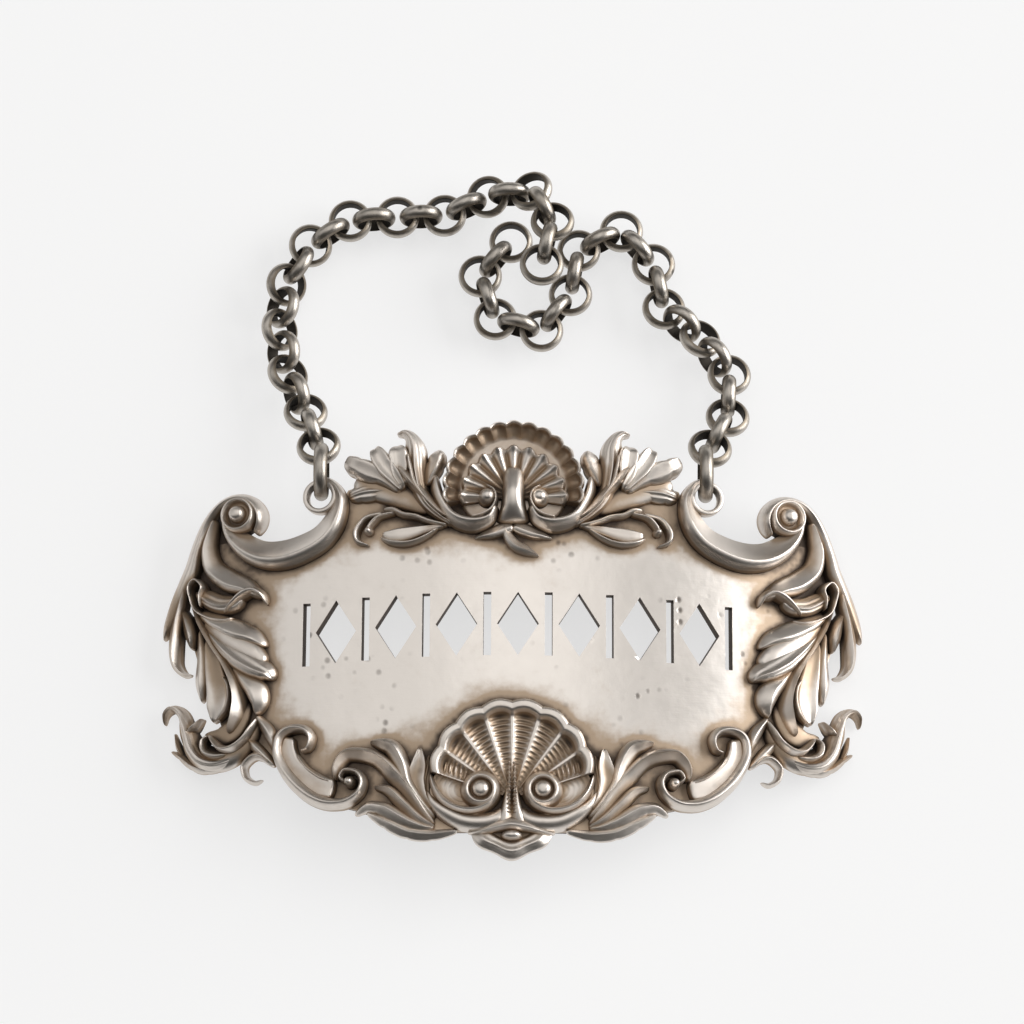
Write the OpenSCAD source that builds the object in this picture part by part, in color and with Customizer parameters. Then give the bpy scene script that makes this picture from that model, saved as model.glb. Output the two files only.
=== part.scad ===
// Wine label in silver: a bowed, pierced plate with a rococo border of scrolls,
// acanthus leaves and two shells, hung from a belcher chain that lies loose on the table.
// X runs to the right across the label, Y to its top edge, Z out of its front.
// The origin is under the middle of the plate, on the table that the two ends rest on.

/* [Label] */
// Radius that the label is bowed to, mm
bow_r = 60; // [45:1:90]
// Thickness of the plate, mm
plate_t = 0.9; // [0.6:0.1:1.4]
// Relief of the border against its drawn heights
relief = 1; // [0.8:0.05:1.2]

/* [Fret] */
// Number of pierced lozenges in the row
fret_count = 7; // [5:2:9]
// Spacing of the lozenges along the row, mm
fret_pitch = 4.7; // [4:0.1:5.5]
// Width of a lozenge, mm
fret_w = 3.2; // [2:0.1:3.8]
// Height of a lozenge, mm
fret_h = 5; // [3:0.1:6]
// Width of the upright slots between lozenges, mm
slot_w = 0.6; // [0.4:0.05:0.9]

/* [Eyelets] */
// Bore of an eyelet, mm
eye_bore = 1.9; // [1.7:0.05:2.2]
// Wall of an eyelet, mm
eye_wall = 0.45; // [0.35:0.05:0.6]
// Length of an eyelet along its bore, mm
eye_len = 1; // [0.7:0.05:1.3]

/* [Chain] */
// Outer diameter of a chain link, mm
link_od = 3.5; // [3.3:0.05:3.7]
// Outer diameter of a suspension ring, mm
ring_od = 4.6; // [4.2:0.1:5]
// Width of the half-round wire, mm
wire_w = 1.1; // [0.9:0.05:1.2]
// Thickness of the half-round wire, mm
wire_t = 0.45; // [0.35:0.05:0.5]
// Gap between a link and the next but one, mm
link_gap = 0.3; // [0.2:0.05:0.4]

/* [Hidden] */
$fn = 48;
silver = [0.80, 0.78, 0.73];
dark_silver = [0.45, 0.42, 0.38];
deg = 180 / PI;
front = plate_t / 2;
// Depth that the border is let into the plate's front, and the height that its rails are drawn from
sink = 0.05;
seat = front - sink;
drawn_seat = 0.4;
// Distance of the leaf tips from the middle, and the rise of the plate that rests them on the table
tip_u = 28.3;
rise = bow_r - (bow_r + seat) * cos(tip_u / bow_r * deg);
eye_at = [15, 11.8];
eye_w = front + 0.25;
eye_od = eye_bore + 2 * eye_wall;
pitch = (link_od + link_gap) / 2;

// A point of the flat drawing, across, up and out, wrapped on the bowed label
function bent(p) = [(bow_r + p[2]) * sin(p[0] / bow_r * deg), p[1],
                    (bow_r + p[2]) * cos(p[0] / bow_r * deg) - bow_r + rise];

// Height over the mid surface of a drawn height
function lifted(w) = seat + (w - drawn_seat) * relief;

// Smooth curve through a list of points, x counted in points
function blend(a, b, c, d, t) = 0.5 * (2 * b + (c - a) * t + (2 * a - 5 * b + 4 * c - d) * t * t
                                       + (3 * b - a - 3 * c + d) * t * t * t);
function along(p, x) = let (n = len(p) - 1, i = min(floor(x), n - 1))
    blend(p[max(i - 1, 0)], p[i], p[i + 1], p[min(i + 2, n)], x - i);

// Sections of a leaf or bar, from one edge over the crest to the other
leaf_section = [[-1, 0], [-0.8, 0.6], [0, 1], [0.8, 0.6], [1, 0]];
bar_section = [[-1, 0], [-0.85, 0.75], [-0.15, 1], [0.65, 0.8], [1, 0]];

// One station of a rail whose points are across, up, crest height and half width
function station(p, x, section) =
    let (q = along(p, x), n = len(p) - 1,
         g = along(p, min(x + 0.1, n)) - along(p, max(x - 0.1, 0)),
         l = norm([g[0], g[1]]), turn = q[0] / bow_r * deg,
         side = [g[1] / l * cos(turn), -g[0] / l, -g[1] / l * sin(turn)],
         out = [sin(turn), 0, cos(turn)], foot = bent([q[0], q[1], seat]))
    [for (k = section) foot + side * q[3] * k[0] + out * (lifted(q[2]) - seat) * k[1]];

// A leaf lobe or scroll bar, swept along its rail in convex steps
module lobe(p, steps = 9, section = leaf_section) {
    m = len(section);
    n = len(p) - 1;
    sides = [for (j = [0:m - 1]) [j, (j + 1) % m, m + (j + 1) % m, m + j]];
    ends = [[for (j = [m - 1:-1:0]) j], [for (j = [0:m - 1]) m + j]];
    for (i = [0:steps - 1])
        hull()
            polyhedron(concat(station(p, n * i / steps, section), station(p, n * (i + 1) / steps, section)),
                       concat(sides, ends));
}

// A round boss standing on the label at a drawn point
module boss(p) {
    h = p[3] * relief;
    translate(bent([p[0], p[1], seat]))
        rotate([0, p[0] / bow_r * deg, 0])
            rotate_extrude($fn = 18)
                intersection() {
                    scale([1, h / p[2]]) circle(p[2], $fn = 12);
                    square([p[2], h]);
                }
}

// Rails of the right-hand half, in mm of the flat drawing
c_scroll_rail = [
    [14.8, 13.2, 1.3, 0.25], [14, 12.7, 1.5, 0.4], [13.4, 11.4, 1.8, 0.62], [13.8, 9.8, 2, 0.9],
    [14.8, 8.5, 2, 1.05], [16.3, 7.7, 2, 1.15], [17.9, 7.3, 2, 1.2], [19.4, 7.4, 2, 1.15],
    [20.7, 8, 2, 1.05], [21.7, 8.9, 2, 0.85], [22.3, 9.9, 1.9, 0.6], [22.4, 10.9, 1.8, 0.4],
    [22, 11.6, 1.7, 0.25]];
outer_roll = [
    [20.3, 9.2, 1.2, 0.4], [19.8, 9.8, 1.7, 0.5], [19.7, 10.6, 1.9, 0.52], [20.1, 11.4, 1.9, 0.52],
    [20.9, 11.9, 1.9, 0.5], [21.9, 11.9, 1.9, 0.46], [22.9, 11.4, 1.8, 0.46], [23.8, 10.5, 1.7, 0.48],
    [24.4, 9.4, 1.6, 0.52], [24.9, 8.2, 1.6, 0.56], [25.6, 6.6, 1.5, 0.6], [26.4, 4.9, 1.4, 0.65],
    [27.2, 3, 1.3, 0.6], [27.8, 1.6, 1, 0.25]];
band_lobe = [
    [23.4, 10.7, 1.4, 0.3], [24, 9.6, 1.5, 0.5], [24.2, 8.2, 1.5, 0.65], [23.8, 6.8, 1.5, 0.75],
    [22.4, 5.6, 1.6, 0.85], [20.8, 4.9, 1.8, 0.7], [19.4, 4, 1.6, 0.25]];
rolled_lobe = [
    [24.7, 5, 1.5, 0.5], [23.6, 4.1, 1.8, 0.85], [22.3, 3.6, 2, 0.9], [20.9, 3.8, 2.1, 0.7],
    [19.7, 4, 2, 0.45], [19.2, 3.3, 1.2, 0.15]];
hooked_lobe = [
    [25.9, 6.4, 1.3, 0.3], [26.3, 4.6, 1.6, 0.5], [26.7, 3, 1.7, 0.62], [26.9, 1.4, 1.8, 0.65],
    [26.9, 0.1, 1.9, 0.6], [26.7, -0.9, 1.8, 0.45], [26.1, -1.6, 1.5, 0.25], [25.5, -1.7, 1, 0.1]];
tucked_lobe = [
    [26.4, 3.6, 1.2, 0.3], [25.9, 2.5, 1.5, 0.55], [25.5, 1.3, 1.6, 0.55], [25.4, 0.3, 1.2, 0.2]];
upper_lobe = [
    [24.7, 3.2, 1.4, 0.4], [23.3, 2.3, 1.7, 0.8], [21.7, 1.5, 1.8, 0.95], [20.2, 0.9, 1.7, 0.75],
    [19.1, 0.1, 1.2, 0.2]];
broad_lobe = [
    [24, 1.8, 1.4, 0.4], [22.5, 0.4, 1.8, 0.9], [21.2, -0.7, 2, 1.15], [19.8, -1.6, 2, 1.05],
    [18.9, -2.1, 1.8, 0.7], [18.5, -2.6, 1.3, 0.25]];
narrow_lobe = [
    [21.8, -1.3, 1.3, 0.35], [20.8, -2.3, 1.6, 0.75], [19.9, -3.3, 1.8, 0.9], [19.6, -4.3, 1.7, 0.75],
    [19.8, -5.4, 1.2, 0.2]];
slim_lobe = [[24.7, 1.9, 1.2, 0.3], [24.5, -0.6, 1.3, 0.55], [24.5, -2.5, 1.4, 0.6], [24.5, -4, 0.9, 0.12]];
hollow_lobe = [
    [23.9, 1.2, 1.3, 0.4], [23.4, -1.3, 1.5, 0.8], [23, -3.3, 1.6, 1], [23.1, -4.6, 1.6, 0.85],
    [23.4, -5.7, 1.1, 0.15]];
side_stem = [
    [25.4, 4.6, 1.5, 0.25], [24.5, 2.4, 1.8, 0.32], [23.4, 0.6, 1.9, 0.38], [22.3, -0.9, 2, 0.45],
    [21.5, -2.4, 2, 0.52], [21.1, -3.9, 2, 0.55], [21.3, -5.3, 1.9, 0.52], [22, -6.7, 1.5, 0.3]];
stem_curl = [
    [19.7, -5.6, 1.3, 0.2], [20.1, -6.4, 1.8, 0.32], [20.7, -7.3, 2, 0.36], [21.6, -7.9, 2.1, 0.38],
    [22.4, -7.9, 2.1, 0.36], [23, -7.4, 2, 0.28], [23.6, -6.7, 1.5, 0.14]];
curl_foot = [
    [23.7, -6.7, 1.4, 0.2], [24.1, -7.2, 1.7, 0.32], [23.9, -8, 1.8, 0.4], [23.1, -8.4, 1.7, 0.4],
    [22, -8.3, 1.3, 0.3]];
curled_leaf = [
    [21.6, -8.6, 1.2, 0.3], [23, -9, 1.6, 0.5], [24.2, -8.7, 1.8, 0.7], [25, -7.8, 1.9, 0.76],
    [25.4, -6.7, 1.9, 0.7], [25.7, -5.7, 1.9, 0.55], [26.1, -4.8, 1.8, 0.42], [26.9, -4.3, 1.6, 0.32],
    [27.6, -4.7, 1.3, 0.22], [27.8, -5.5, 0.8, 0.1]];
leaflet = [[25.5, -6.6, 1.5, 0.2], [24.9, -6, 1.8, 0.32], [24.3, -5.3, 1.3, 0.1]];
fringe_leaf = [[22, -9, 0.9, 0.3], [23.9, -9.3, 1.1, 0.38], [25.2, -8.9, 1.1, 0.4], [26.3, -8.1, 1, 0.3],
               [27.2, -7.6, 0.7, 0.1]];
fringe_tip = [[26.1, -8.1, 0.9, 0.2], [26.5, -7.3, 1, 0.26], [26.9, -6.2, 0.7, 0.08]];
small_curl = [
    [18.7, -9.2, 0.9, 0.15], [19.2, -8.7, 1.3, 0.3], [19.8, -8.5, 1.4, 0.36], [20.4, -8.8, 1.4, 0.34],
    [20.8, -9.4, 1.4, 0.3], [20.6, -10.2, 1.3, 0.26], [19.9, -10.6, 1.2, 0.2], [19.3, -10.4, 0.8, 0.08]];
inner_rib = [
    [19.8, -5.4, 1.2, 0.25], [19, -6.4, 1.4, 0.5], [18.5, -7.3, 1.4, 0.5], [18.3, -8.2, 1.1, 0.25]];
under_rib = [
    [20.6, -7.1, 1.1, 0.35], [19.8, -7.9, 1.2, 0.45], [19, -8.7, 1.1, 0.4], [18.3, -9.4, 0.8, 0.2]];
base_scroll_rail = [
    [16.1, -8.4, 1.5, 0.15], [15.5, -8.2, 1.7, 0.22], [15.3, -7.4, 1.8, 0.3], [15.7, -6.8, 1.9, 0.36],
    [16.5, -6.6, 1.9, 0.4], [17.3, -6.8, 1.9, 0.42], [17.8, -7.4, 1.9, 0.45], [17.9, -8.5, 1.9, 0.5],
    [17.4, -9.7, 1.9, 0.55], [16.6, -10.8, 1.9, 0.6], [15.5, -11.8, 1.9, 0.6], [14.4, -12.4, 1.9, 0.55],
    [13.4, -12.6, 1.9, 0.48], [12.4, -12.5, 2, 0.42], [11.5, -11.9, 2, 0.36], [11.2, -11, 2, 0.32],
    [11.6, -10.3, 2, 0.28], [12.5, -10.1, 1.9, 0.24], [12.9, -10.6, 1.8, 0.2],
    [12.5, -11, 1.7, 0.2]];
scroll_floor = [
    [17, -7.2, 1.4, 0.4], [17.1, -8.3, 1.5, 0.65], [16.7, -9.5, 1.5, 0.8], [15.7, -10.5, 1.5, 0.9],
    [14.5, -11.2, 1.5, 0.9], [13.4, -11.5, 1.5, 0.8]];
spray_scroll = [
    [13.2, -10.8, 1.4, 0.25], [13.2, -9.8, 1.7, 0.38], [12.5, -8.9, 1.8, 0.44], [11.2, -8.9, 1.8, 0.48],
    [10, -9.4, 1.7, 0.5], [8.8, -10.6, 1.6, 0.56], [7.7, -11.9, 1.6, 0.52], [6.7, -13.4, 1.4, 0.42],
    [5.8, -14.3, 1, 0.2]];
spray_head = [
    [10.8, -7.9, 1.2, 0.15], [9.9, -8.1, 1.8, 0.4], [9, -8.5, 1.9, 0.55], [8.3, -9.8, 1.8, 0.55],
    [7.9, -11.2, 1.7, 0.5], [7, -12.6, 1.5, 0.45], [5.8, -13.9, 1.2, 0.25]];
spray_inner = [
    [6.9, -8.5, 1.1, 0.12], [7.1, -9.8, 1.6, 0.45], [7.3, -11, 1.7, 0.55], [6.9, -12.3, 1.6, 0.45],
    [6, -13.3, 1.2, 0.2]];
spray_frill = [
    [6.2, -8.7, 1, 0.12], [6.4, -9.9, 1.4, 0.36], [6.6, -11.2, 1.5, 0.42], [6.3, -12.5, 1.4, 0.36],
    [5.6, -13.6, 1, 0.2]];
spray_low = [
    [10.4, -11.4, 1.2, 0.15], [9.3, -11.7, 1.5, 0.36], [8.2, -12.8, 1.4, 0.45], [7, -13.9, 1.3, 0.4],
    [5.8, -14.5, 0.9, 0.2]];
spray_outer = [
    [11.9, -13.5, 0.9, 0.15], [10.9, -12.9, 1.3, 0.36], [9.7, -13.1, 1.4, 0.5], [8.3, -13.9, 1.3, 0.5],
    [6.9, -14.5, 1.1, 0.35], [5.8, -14.6, 0.8, 0.15]];
spray_edge = [[11, -13.3, 0.8, 0.15], [9.5, -14.1, 1, 0.4], [7.8, -14.9, 1, 0.42], [6, -15.1, 0.9, 0.36],
              [4.1, -14.8, 0.8, 0.2]];
base_arm = [
    [2.8, -12.1, 1.8, 0.2], [2.7, -11.4, 1.9, 0.22], [2.1, -11, 1.9, 0.24], [1.4, -11.5, 2, 0.28],
    [1.1, -12.5, 2, 0.32], [1.6, -13.5, 2, 0.4], [2.8, -13.8, 2, 0.46], [4, -13.5, 2, 0.48],
    [5, -12.8, 2, 0.44], [5.6, -11.8, 1.9, 0.36], [5.8, -10.7, 1.6, 0.18]];
base_body = [
    [0.5, -13.4, 1.2, 0.4], [1, -14.2, 1.4, 0.5], [2.1, -14.5, 1.5, 0.55], [3.6, -14.4, 1.5, 0.55],
    [4.9, -13.8, 1.5, 0.5], [5.8, -13, 1.4, 0.42], [6.3, -11.9, 1.2, 0.2]];
crest_arm = [[1.2, 10.5, 2.2, 0.25], [1.7, 9.4, 2.3, 0.42], [2.8, 9, 2.3, 0.55], [4, 9.2, 2.2, 0.55],
             [4.9, 9.8, 2.1, 0.52], [5.5, 10.7, 2, 0.52], [5.9, 11.7, 1.9, 0.52], [6, 12.6, 1.7, 0.38],
             [5.9, 13.2, 1.3, 0.12]];
crest_leaf = [[4.5, 9.1, 1.6, 0.25], [5.6, 9.8, 1.8, 0.4], [6.6, 10.8, 1.9, 0.55], [7.1, 11.9, 2, 0.72],
              [7.4, 13.3, 2, 0.85], [7.5, 14.4, 2, 0.9], [7.6, 15.4, 1.9, 0.82], [7.9, 16.2, 1.8, 0.55],
              [8.4, 16.6, 1.7, 0.35], [9, 16.5, 1.3, 0.15]];
crest_inner = [
    [6.8, 11.8, 1.4, 0.3], [6.5, 13.1, 1.5, 0.42], [6.2, 14.2, 1.5, 0.45], [6.1, 15.1, 1.2, 0.18]];
crest_shoulder = [
    [7.7, 12.2, 1.6, 0.3], [8.4, 13.5, 1.8, 0.5], [8.9, 14.5, 1.8, 0.46], [9.2, 15.4, 1.4, 0.18]];
crest_fork = [[5.9, 9.7, 1.8, 0.2], [6.9, 10.4, 2.1, 0.4], [7.9, 11.4, 2.2, 0.5], [8.8, 12.2, 2.2, 0.5],
              [9.7, 12.9, 1.8, 0.15]];
crest_lobe_1 = [
    [8.2, 11.3, 1.5, 0.25], [9.3, 12.5, 1.6, 0.45], [10.1, 13.6, 1.6, 0.56], [10.6, 14.4, 1.5, 0.48],
    [10.9, 15.1, 1.2, 0.15]];
crest_lobe_2 = [
    [8.8, 11.2, 1.3, 0.25], [10, 12.1, 1.5, 0.45], [11.1, 13, 1.6, 0.52], [12.2, 13.9, 1.6, 0.44],
    [13.1, 14.5, 1.3, 0.15]];
crest_lobe_3 = [
    [8.8, 10.9, 1.1, 0.25], [10.3, 11.4, 1.3, 0.5], [11.3, 11.7, 1.3, 0.56], [12.4, 11.9, 1, 0.18]];
crest_drop = [[5, 9.1, 1.1, 0.2], [6.7, 8.7, 1.2, 0.45], [8.1, 8.4, 1.3, 0.62], [9.1, 8.3, 1.3, 0.58],
              [10.1, 8.4, 1, 0.15]];
crest_tendril = [[5, 9.1, 1.3, 0.2], [6.4, 9.4, 1.6, 0.28], [7.4, 9.8, 1.7, 0.3], [8.4, 10, 1.7, 0.3],
                 [9.2, 10.4, 1.7, 0.28], [9.9, 10.4, 1.4, 0.2]];
crest_hook = [
    [9, 10.2, 1.3, 0.2], [10.2, 9.9, 1.6, 0.26], [10.8, 9.4, 1.6, 0.28], [11.1, 8.8, 1.6, 0.34]];
crest_loop = [[10, 10.2, 1.2, 0.2], [11.2, 9.9, 1.4, 0.26], [11.8, 9.3, 1.5, 0.3], [12.1, 8.6, 1.5, 0.32],
              [11.9, 8, 1.4, 0.25], [11.1, 7.7, 1, 0.1]];
husk_middle = [[-0.6, 8.8, 1.3, 0.25], [-0.3, 7.9, 1.4, 0.3], [0.3, 7.3, 1.5, 0.36], [1.1, 7, 1.5, 0.38],
               [2.1, 6.7, 1, 0.1]];
husk_side = [[0, 8.8, 1.3, 0.4], [0.8, 8.5, 1.3, 0.4], [1.6, 8.2, 1.2, 0.3], [2.4, 8.2, 1.1, 0.2],
             [3.3, 8.1, 0.8, 0.08]];
collar_rail = [[0, 9, 1.8, 1], [0, 10.2, 2.3, 0.85], [0, 11.4, 2.7, 0.75],
               [0, 12.6, 2.3, 0.7], [0, 13.4, 1.8, 0.6]];

// Shells of the drawing: middle, radii at the hub and the rim, heights there, depth of the flutes
cuff_at = [0, 11.9];
cuff_r = [3.5, 5];
cuff_w = [1.5, 1.9];
cuff_depth = 0.5;
palmette_at = [0, 11.2];
palmette_r = [0.6, 3.8];
palmette_w = [2.1, 2.6];
palmette_depth = 0.5;
scallop_at = [0, -12.4];
scallop_r = [0.7, 6.75];
scallop_w = [1.5, 2.5];
scallop_depth = 0.7;
lip_at = [0, -14];
lip_r = [0.4, 2.85];
lip_w = [1.4, 0.9];
lip_depth = 0.3;

// Bosses of the drawing: across, up, radius and height
curl_seat = [21.3, 10.7, 1.9, 1.3];
curl_boss = [21.3, 10.7, 0.6, 1.9];
crest_boss = [2, 11, 0.72, 2.3];
volute_bowl = [3.4, -12, 2.1, 0.6];
volute_boss = [2, -12, 0.62, 2];
scroll_boss = [12.2, -11, 0.5, 1.9];

// Half outline of the plate, from the middle of the top edge round to the middle of the bottom one
plate_half = [
    [0, 13.6], [3.2, 12.8], [5, 10.6], [7.5, 11.8], [11.5, 12.7], [12.9, 12.3], [13.4, 11.2], [13.7, 9.6],
    [14.7, 8.2], [16.2, 7.2], [18, 6.7], [19.6, 6.8], [21, 7.6], [22.2, 8.8], [23.5, 8.7], [24.6, 6.8],
    [25.2, 4.8], [25.7, 2.6], [25.6, 0.8], [25, -1], [24.4, -2.8], [23.3, -5], [22.6, -6.8], [22.6, -8.2],
    [20.4, -8.4], [18.4, -9.2], [17.2, -10.2], [15.4, -11.8], [13.8, -12.5], [11.6, -13.1], [9.5, -14],
    [7, -14.8], [2.6, -14.8], [0, -14.6]];

// A shell: ridged rays fanned about a drawn point, from the hub's height to the rim's
function ray(at, ang, r, w) = bent([at[0] + r * cos(ang), at[1] + r * sin(ang), w]);
module fan(at, from, to, flutes, r, w, depth, steps_out = 3) {
    n = flutes * 4;
    m = steps_out + 3;
    points = [for (i = [0:n])
        let (ang = from + (to - from) * i / n, c = cos(i * 90), lip = r[1] * (1 + 0.04 * (1 - c)))
        each concat(
            [ray(at, ang, r[0], seat)],
            [for (j = [0:steps_out]) let (f = j / steps_out)
                ray(at, ang, r[0] + (lip - r[0]) * f,
                    lifted(w[0] + (w[1] - w[0]) * f * f - depth * f * (1 + c) / 2))],
            [ray(at, ang, lip, seat)])];
    sides = [for (i = [0:n - 1], j = [0:m - 1]) let (a = i * m + j, b = i * m + (j + 1) % m)
             each [[a, a + m, b], [b, a + m, b + m]]];
    first = [for (j = [1:m - 2]) [0, j, j + 1]];
    last = [for (j = [1:m - 2]) [n * m, n * m + j + 1, n * m + j]];
    polyhedron(points, concat(sides, first, last));
}

// The plate, cut from a bowed sheet
function flat_x(u) = bow_r * sin(u / bow_r * deg);
module bowed_sheet(t) {
    translate([0, 0, rise - bow_r])
        rotate([90, 0, 0])
            difference() {
                cylinder(h = 60, r = bow_r + t / 2, center = true, $fn = 240);
                cylinder(h = 61, r = bow_r - t / 2, center = true, $fn = 240);
            }
}

module fret() {
    for (i = [0:fret_count - 1]) {
        u = (i - (fret_count - 1) / 2) * fret_pitch + 0.4;
        translate([flat_x(u), 1.4 - 0.002 * u * u])
            polygon([[-fret_w / 2, 0], [0, -fret_h / 2], [fret_w / 2, 0], [0, fret_h / 2]]);
    }
    for (i = [0:fret_count]) {
        u = (i - fret_count / 2) * fret_pitch + 0.4;
        translate([flat_x(u), 1.4 - 0.002 * u * u])
            square([slot_w, fret_h], center = true);
    }
}

module field_plate() {
    right = [for (p = plate_half) [flat_x(p[0]), p[1]]];
    left = [for (i = [len(right) - 2:-1:1]) [-right[i][0], right[i][1]]];
    color(silver)
        intersection() {
            bowed_sheet(plate_t);
            linear_extrude(height = 20)
                difference() {
                    polygon(concat(right, left));
                    fret();
                }
        }
}

// Upper scrolls, with an eyelet in the curl of each
module c_scroll() {
    color(silver) {
        lobe(c_scroll_rail, 30, bar_section);
        boss(curl_seat);
        boss(curl_boss);
    }
}
module right_c_scroll() c_scroll();
module left_c_scroll() mirror([1, 0, 0]) c_scroll();

module eyelet() {
    color(silver)
        translate(bent([eye_at[0], eye_at[1], eye_w]))
            rotate([0, eye_at[0] / bow_r * deg, 0])
                difference() {
                    cylinder(h = eye_len, d = eye_od, center = true);
                    cylinder(h = eye_len + 1, d = eye_bore, center = true);
                }
}
module right_eyelet() eyelet();
module left_eyelet() mirror([1, 0, 0]) eyelet();

// Side leaves and the curled leaves under them
module side_leaf() {
    color(silver) {
        lobe(outer_roll, 26);
        lobe(band_lobe, 12);
        lobe(rolled_lobe);
        lobe(hooked_lobe, 14);
        lobe(tucked_lobe, 6);
        lobe(upper_lobe);
        lobe(broad_lobe);
        lobe(narrow_lobe);
        lobe(slim_lobe);
        lobe(hollow_lobe);
        lobe(side_stem, 14);
    }
}
module right_side_leaf() side_leaf();
module left_side_leaf() mirror([1, 0, 0]) side_leaf();

module lower_leaf() {
    color(silver) {
        lobe(stem_curl, 12);
        lobe(curl_foot, 8);
        lobe(curled_leaf, 18);
        lobe(leaflet, 5);
        lobe(fringe_leaf);
        lobe(fringe_tip, 5);
        lobe(small_curl, 14);
        lobe(inner_rib, 7);
        lobe(under_rib, 7);
    }
}
module right_lower_leaf() lower_leaf();
module left_lower_leaf() mirror([1, 0, 0]) lower_leaf();

// Crest: frilled fan, palmette shell, collar, sprays and husk
module crest_fan() {
    color(silver)
        fan(cuff_at, -12, 192, 11, cuff_r, cuff_w, cuff_depth, 2);
}
module crest_shell() {
    color(silver) {
        fan(palmette_at, 0, 180, 8, palmette_r, palmette_w, palmette_depth);
        lobe(collar_rail, 8);
    }
}
module crest_spray() {
    color(silver) {
        lobe(crest_arm, 14, bar_section);
        boss(crest_boss);
        lobe(crest_leaf, 18);
        lobe(crest_inner, 7);
        lobe(crest_shoulder, 7);
        lobe(crest_fork, 7);
        lobe(crest_lobe_1, 8);
        lobe(crest_lobe_2, 8);
        lobe(crest_lobe_3, 7);
        lobe(crest_drop, 8);
        lobe(crest_tendril, 9);
        lobe(crest_hook, 7);
        lobe(crest_loop, 11);
    }
}
module right_crest_spray() crest_spray();
module left_crest_spray() mirror([1, 0, 0]) crest_spray();
module husk() {
    color(silver) {
        lobe(husk_middle, 7);
        lobe(husk_side, 6);
        mirror([1, 0, 0]) lobe(husk_side, 6);
    }
}

// Base: scallop shell, volutes, scrolls, sprays and lip
module base_shell() {
    color(silver)
        fan(scallop_at, 18, 162, 8, scallop_r, scallop_w, scallop_depth);
}
module base_volute() {
    color(silver) {
        lobe(base_arm, 20, bar_section);
        lobe(base_body, 10);
        boss(volute_bowl);
        boss(volute_boss);
    }
}
module right_base_volute() base_volute();
module left_base_volute() mirror([1, 0, 0]) base_volute();
module base_scroll() {
    color(silver) {
        lobe(base_scroll_rail, 36, bar_section);
        lobe(scroll_floor, 10);
        boss(scroll_boss);
    }
}
module right_base_scroll() base_scroll();
module left_base_scroll() mirror([1, 0, 0]) base_scroll();
module base_spray() {
    color(silver) {
        lobe(spray_scroll, 14);
        lobe(spray_head, 12);
        lobe(spray_inner);
        lobe(spray_frill);
        lobe(spray_low);
        lobe(spray_outer);
        lobe(spray_edge);
    }
}
module right_base_spray() base_spray();
module left_base_spray() mirror([1, 0, 0]) base_spray();
module base_lip() {
    color(silver)
        fan(lip_at, 196, 344, 5, lip_r, lip_w, lip_depth, 2);
}

// Half-round wire, flat inside and domed outside, turned into a ring
module ring(od) {
    r_in = od / 2 - wire_t;
    dome = (wire_w * wire_w / 4 + wire_t * wire_t) / (2 * wire_t);
    rotate_extrude()
        intersection() {
            translate([od / 2 - dome, 0]) circle(dome);
            translate([r_in, -wire_w]) square([wire_t + 1, 2 * wire_w]);
        }
}

// Routes of the two runs of chain from the eyelets, across, up and over the table
left_drop = [[-15.3, 16.1, 4.6], [-16.3, 19, 2.9], [-17.8, 22.2, 1.9]];
left_lie = [[-18.6, 25.2], [-18.7, 28.2], [-18, 31], [-16.4, 33.6], [-14, 35.4], [-11, 36.2], [-8, 35.9],
            [-5, 36.4], [-2.4, 37.6, 0.4], [0.2, 38, 1.4], [2.5, 36.8, 2.6], [3, 34.2, 3.5],
            [2.4, 31.8, 3.7], [1.8, 29.4, 3.6], [1.4, 27, 3.6]];
right_drop = [[15.4, 16.1, 4.6], [16.8, 18.8, 2.8], [17.3, 21.4, 1.9]];
right_lie = [[16.8, 23.8], [15, 25.8], [13.2, 27.2], [11.6, 29], [11.3, 31.2], [10.7, 33.4], [8.8, 34.9],
             [6.5, 34.7], [5, 33], [4.6, 30.6], [4.2, 28.3], [2.6, 26.7], [0.3, 26.5], [-1.7, 27.7],
             [-2.7, 29.8], [-2.5, 32], [-0.9, 33.8], [1.4, 34], [3, 33]];

// The ring hangs with its wire through the eyelet, the links lie on the table, and the whole lie is
// drawn for one pitch and grows with it
eye = bent([eye_at[0], eye_at[1], eye_w]);
hang = [eye[0], eye[1] + (ring_od - wire_t) / 2, eye[2]];
lie_z = link_od / 2 + 0.05;
drawn_pitch = 1.9;
drawn_lie_z = 1.8;
drawn_hang = [13.875, 5.5];
lay = pitch / drawn_pitch;
function laid(p, z, near) = [p[0] * lay + sign(p[0]) * eye[0] * (1 - lay) * sqrt(near),
                            hang[1] + (p[1] - drawn_hang[0]) * lay, z];
function dropped(p) = let (f = (p[2] - drawn_lie_z) / (drawn_hang[1] - drawn_lie_z))
    laid(p, lie_z + (hang[2] - lie_z) * f, f);
function lain(p) = laid(p, lie_z + (len(p) > 2 ? p[2] * lay : 0), 0);
left_route = concat([[-hang[0], hang[1], hang[2]]], [for (p = left_drop) dropped(p)],
                    [for (p = left_lie) lain(p)]);
right_route = concat([hang], [for (p = right_drop) dropped(p)], [for (p = right_lie) lain(p)]);

// Places of a run's flat links: chords of two pitches, after the stride out of the suspension ring
function fine(p) = [for (i = [0:len(p) - 2], k = [0:11]) along(p, i + k / 12)];
function reach(f, c, d, j) = norm(f[j] - c) >= d || j >= len(f) - 1 ? j : reach(f, c, d, j + 1);
function stride(f, c, d, j) = let (k = reach(f, c, d, j), a = norm(f[k - 1] - c), b = norm(f[k] - c))
    [f[k - 1] + (f[k] - f[k - 1]) * (d - a) / (b - a), k];
function walk(f, c, j, left, d) = left == 0 ? [c] :
    let (s = stride(f, c, d, j)) concat([c], walk(f, s[0], s[1], left - 1, 2 * pitch));

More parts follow.
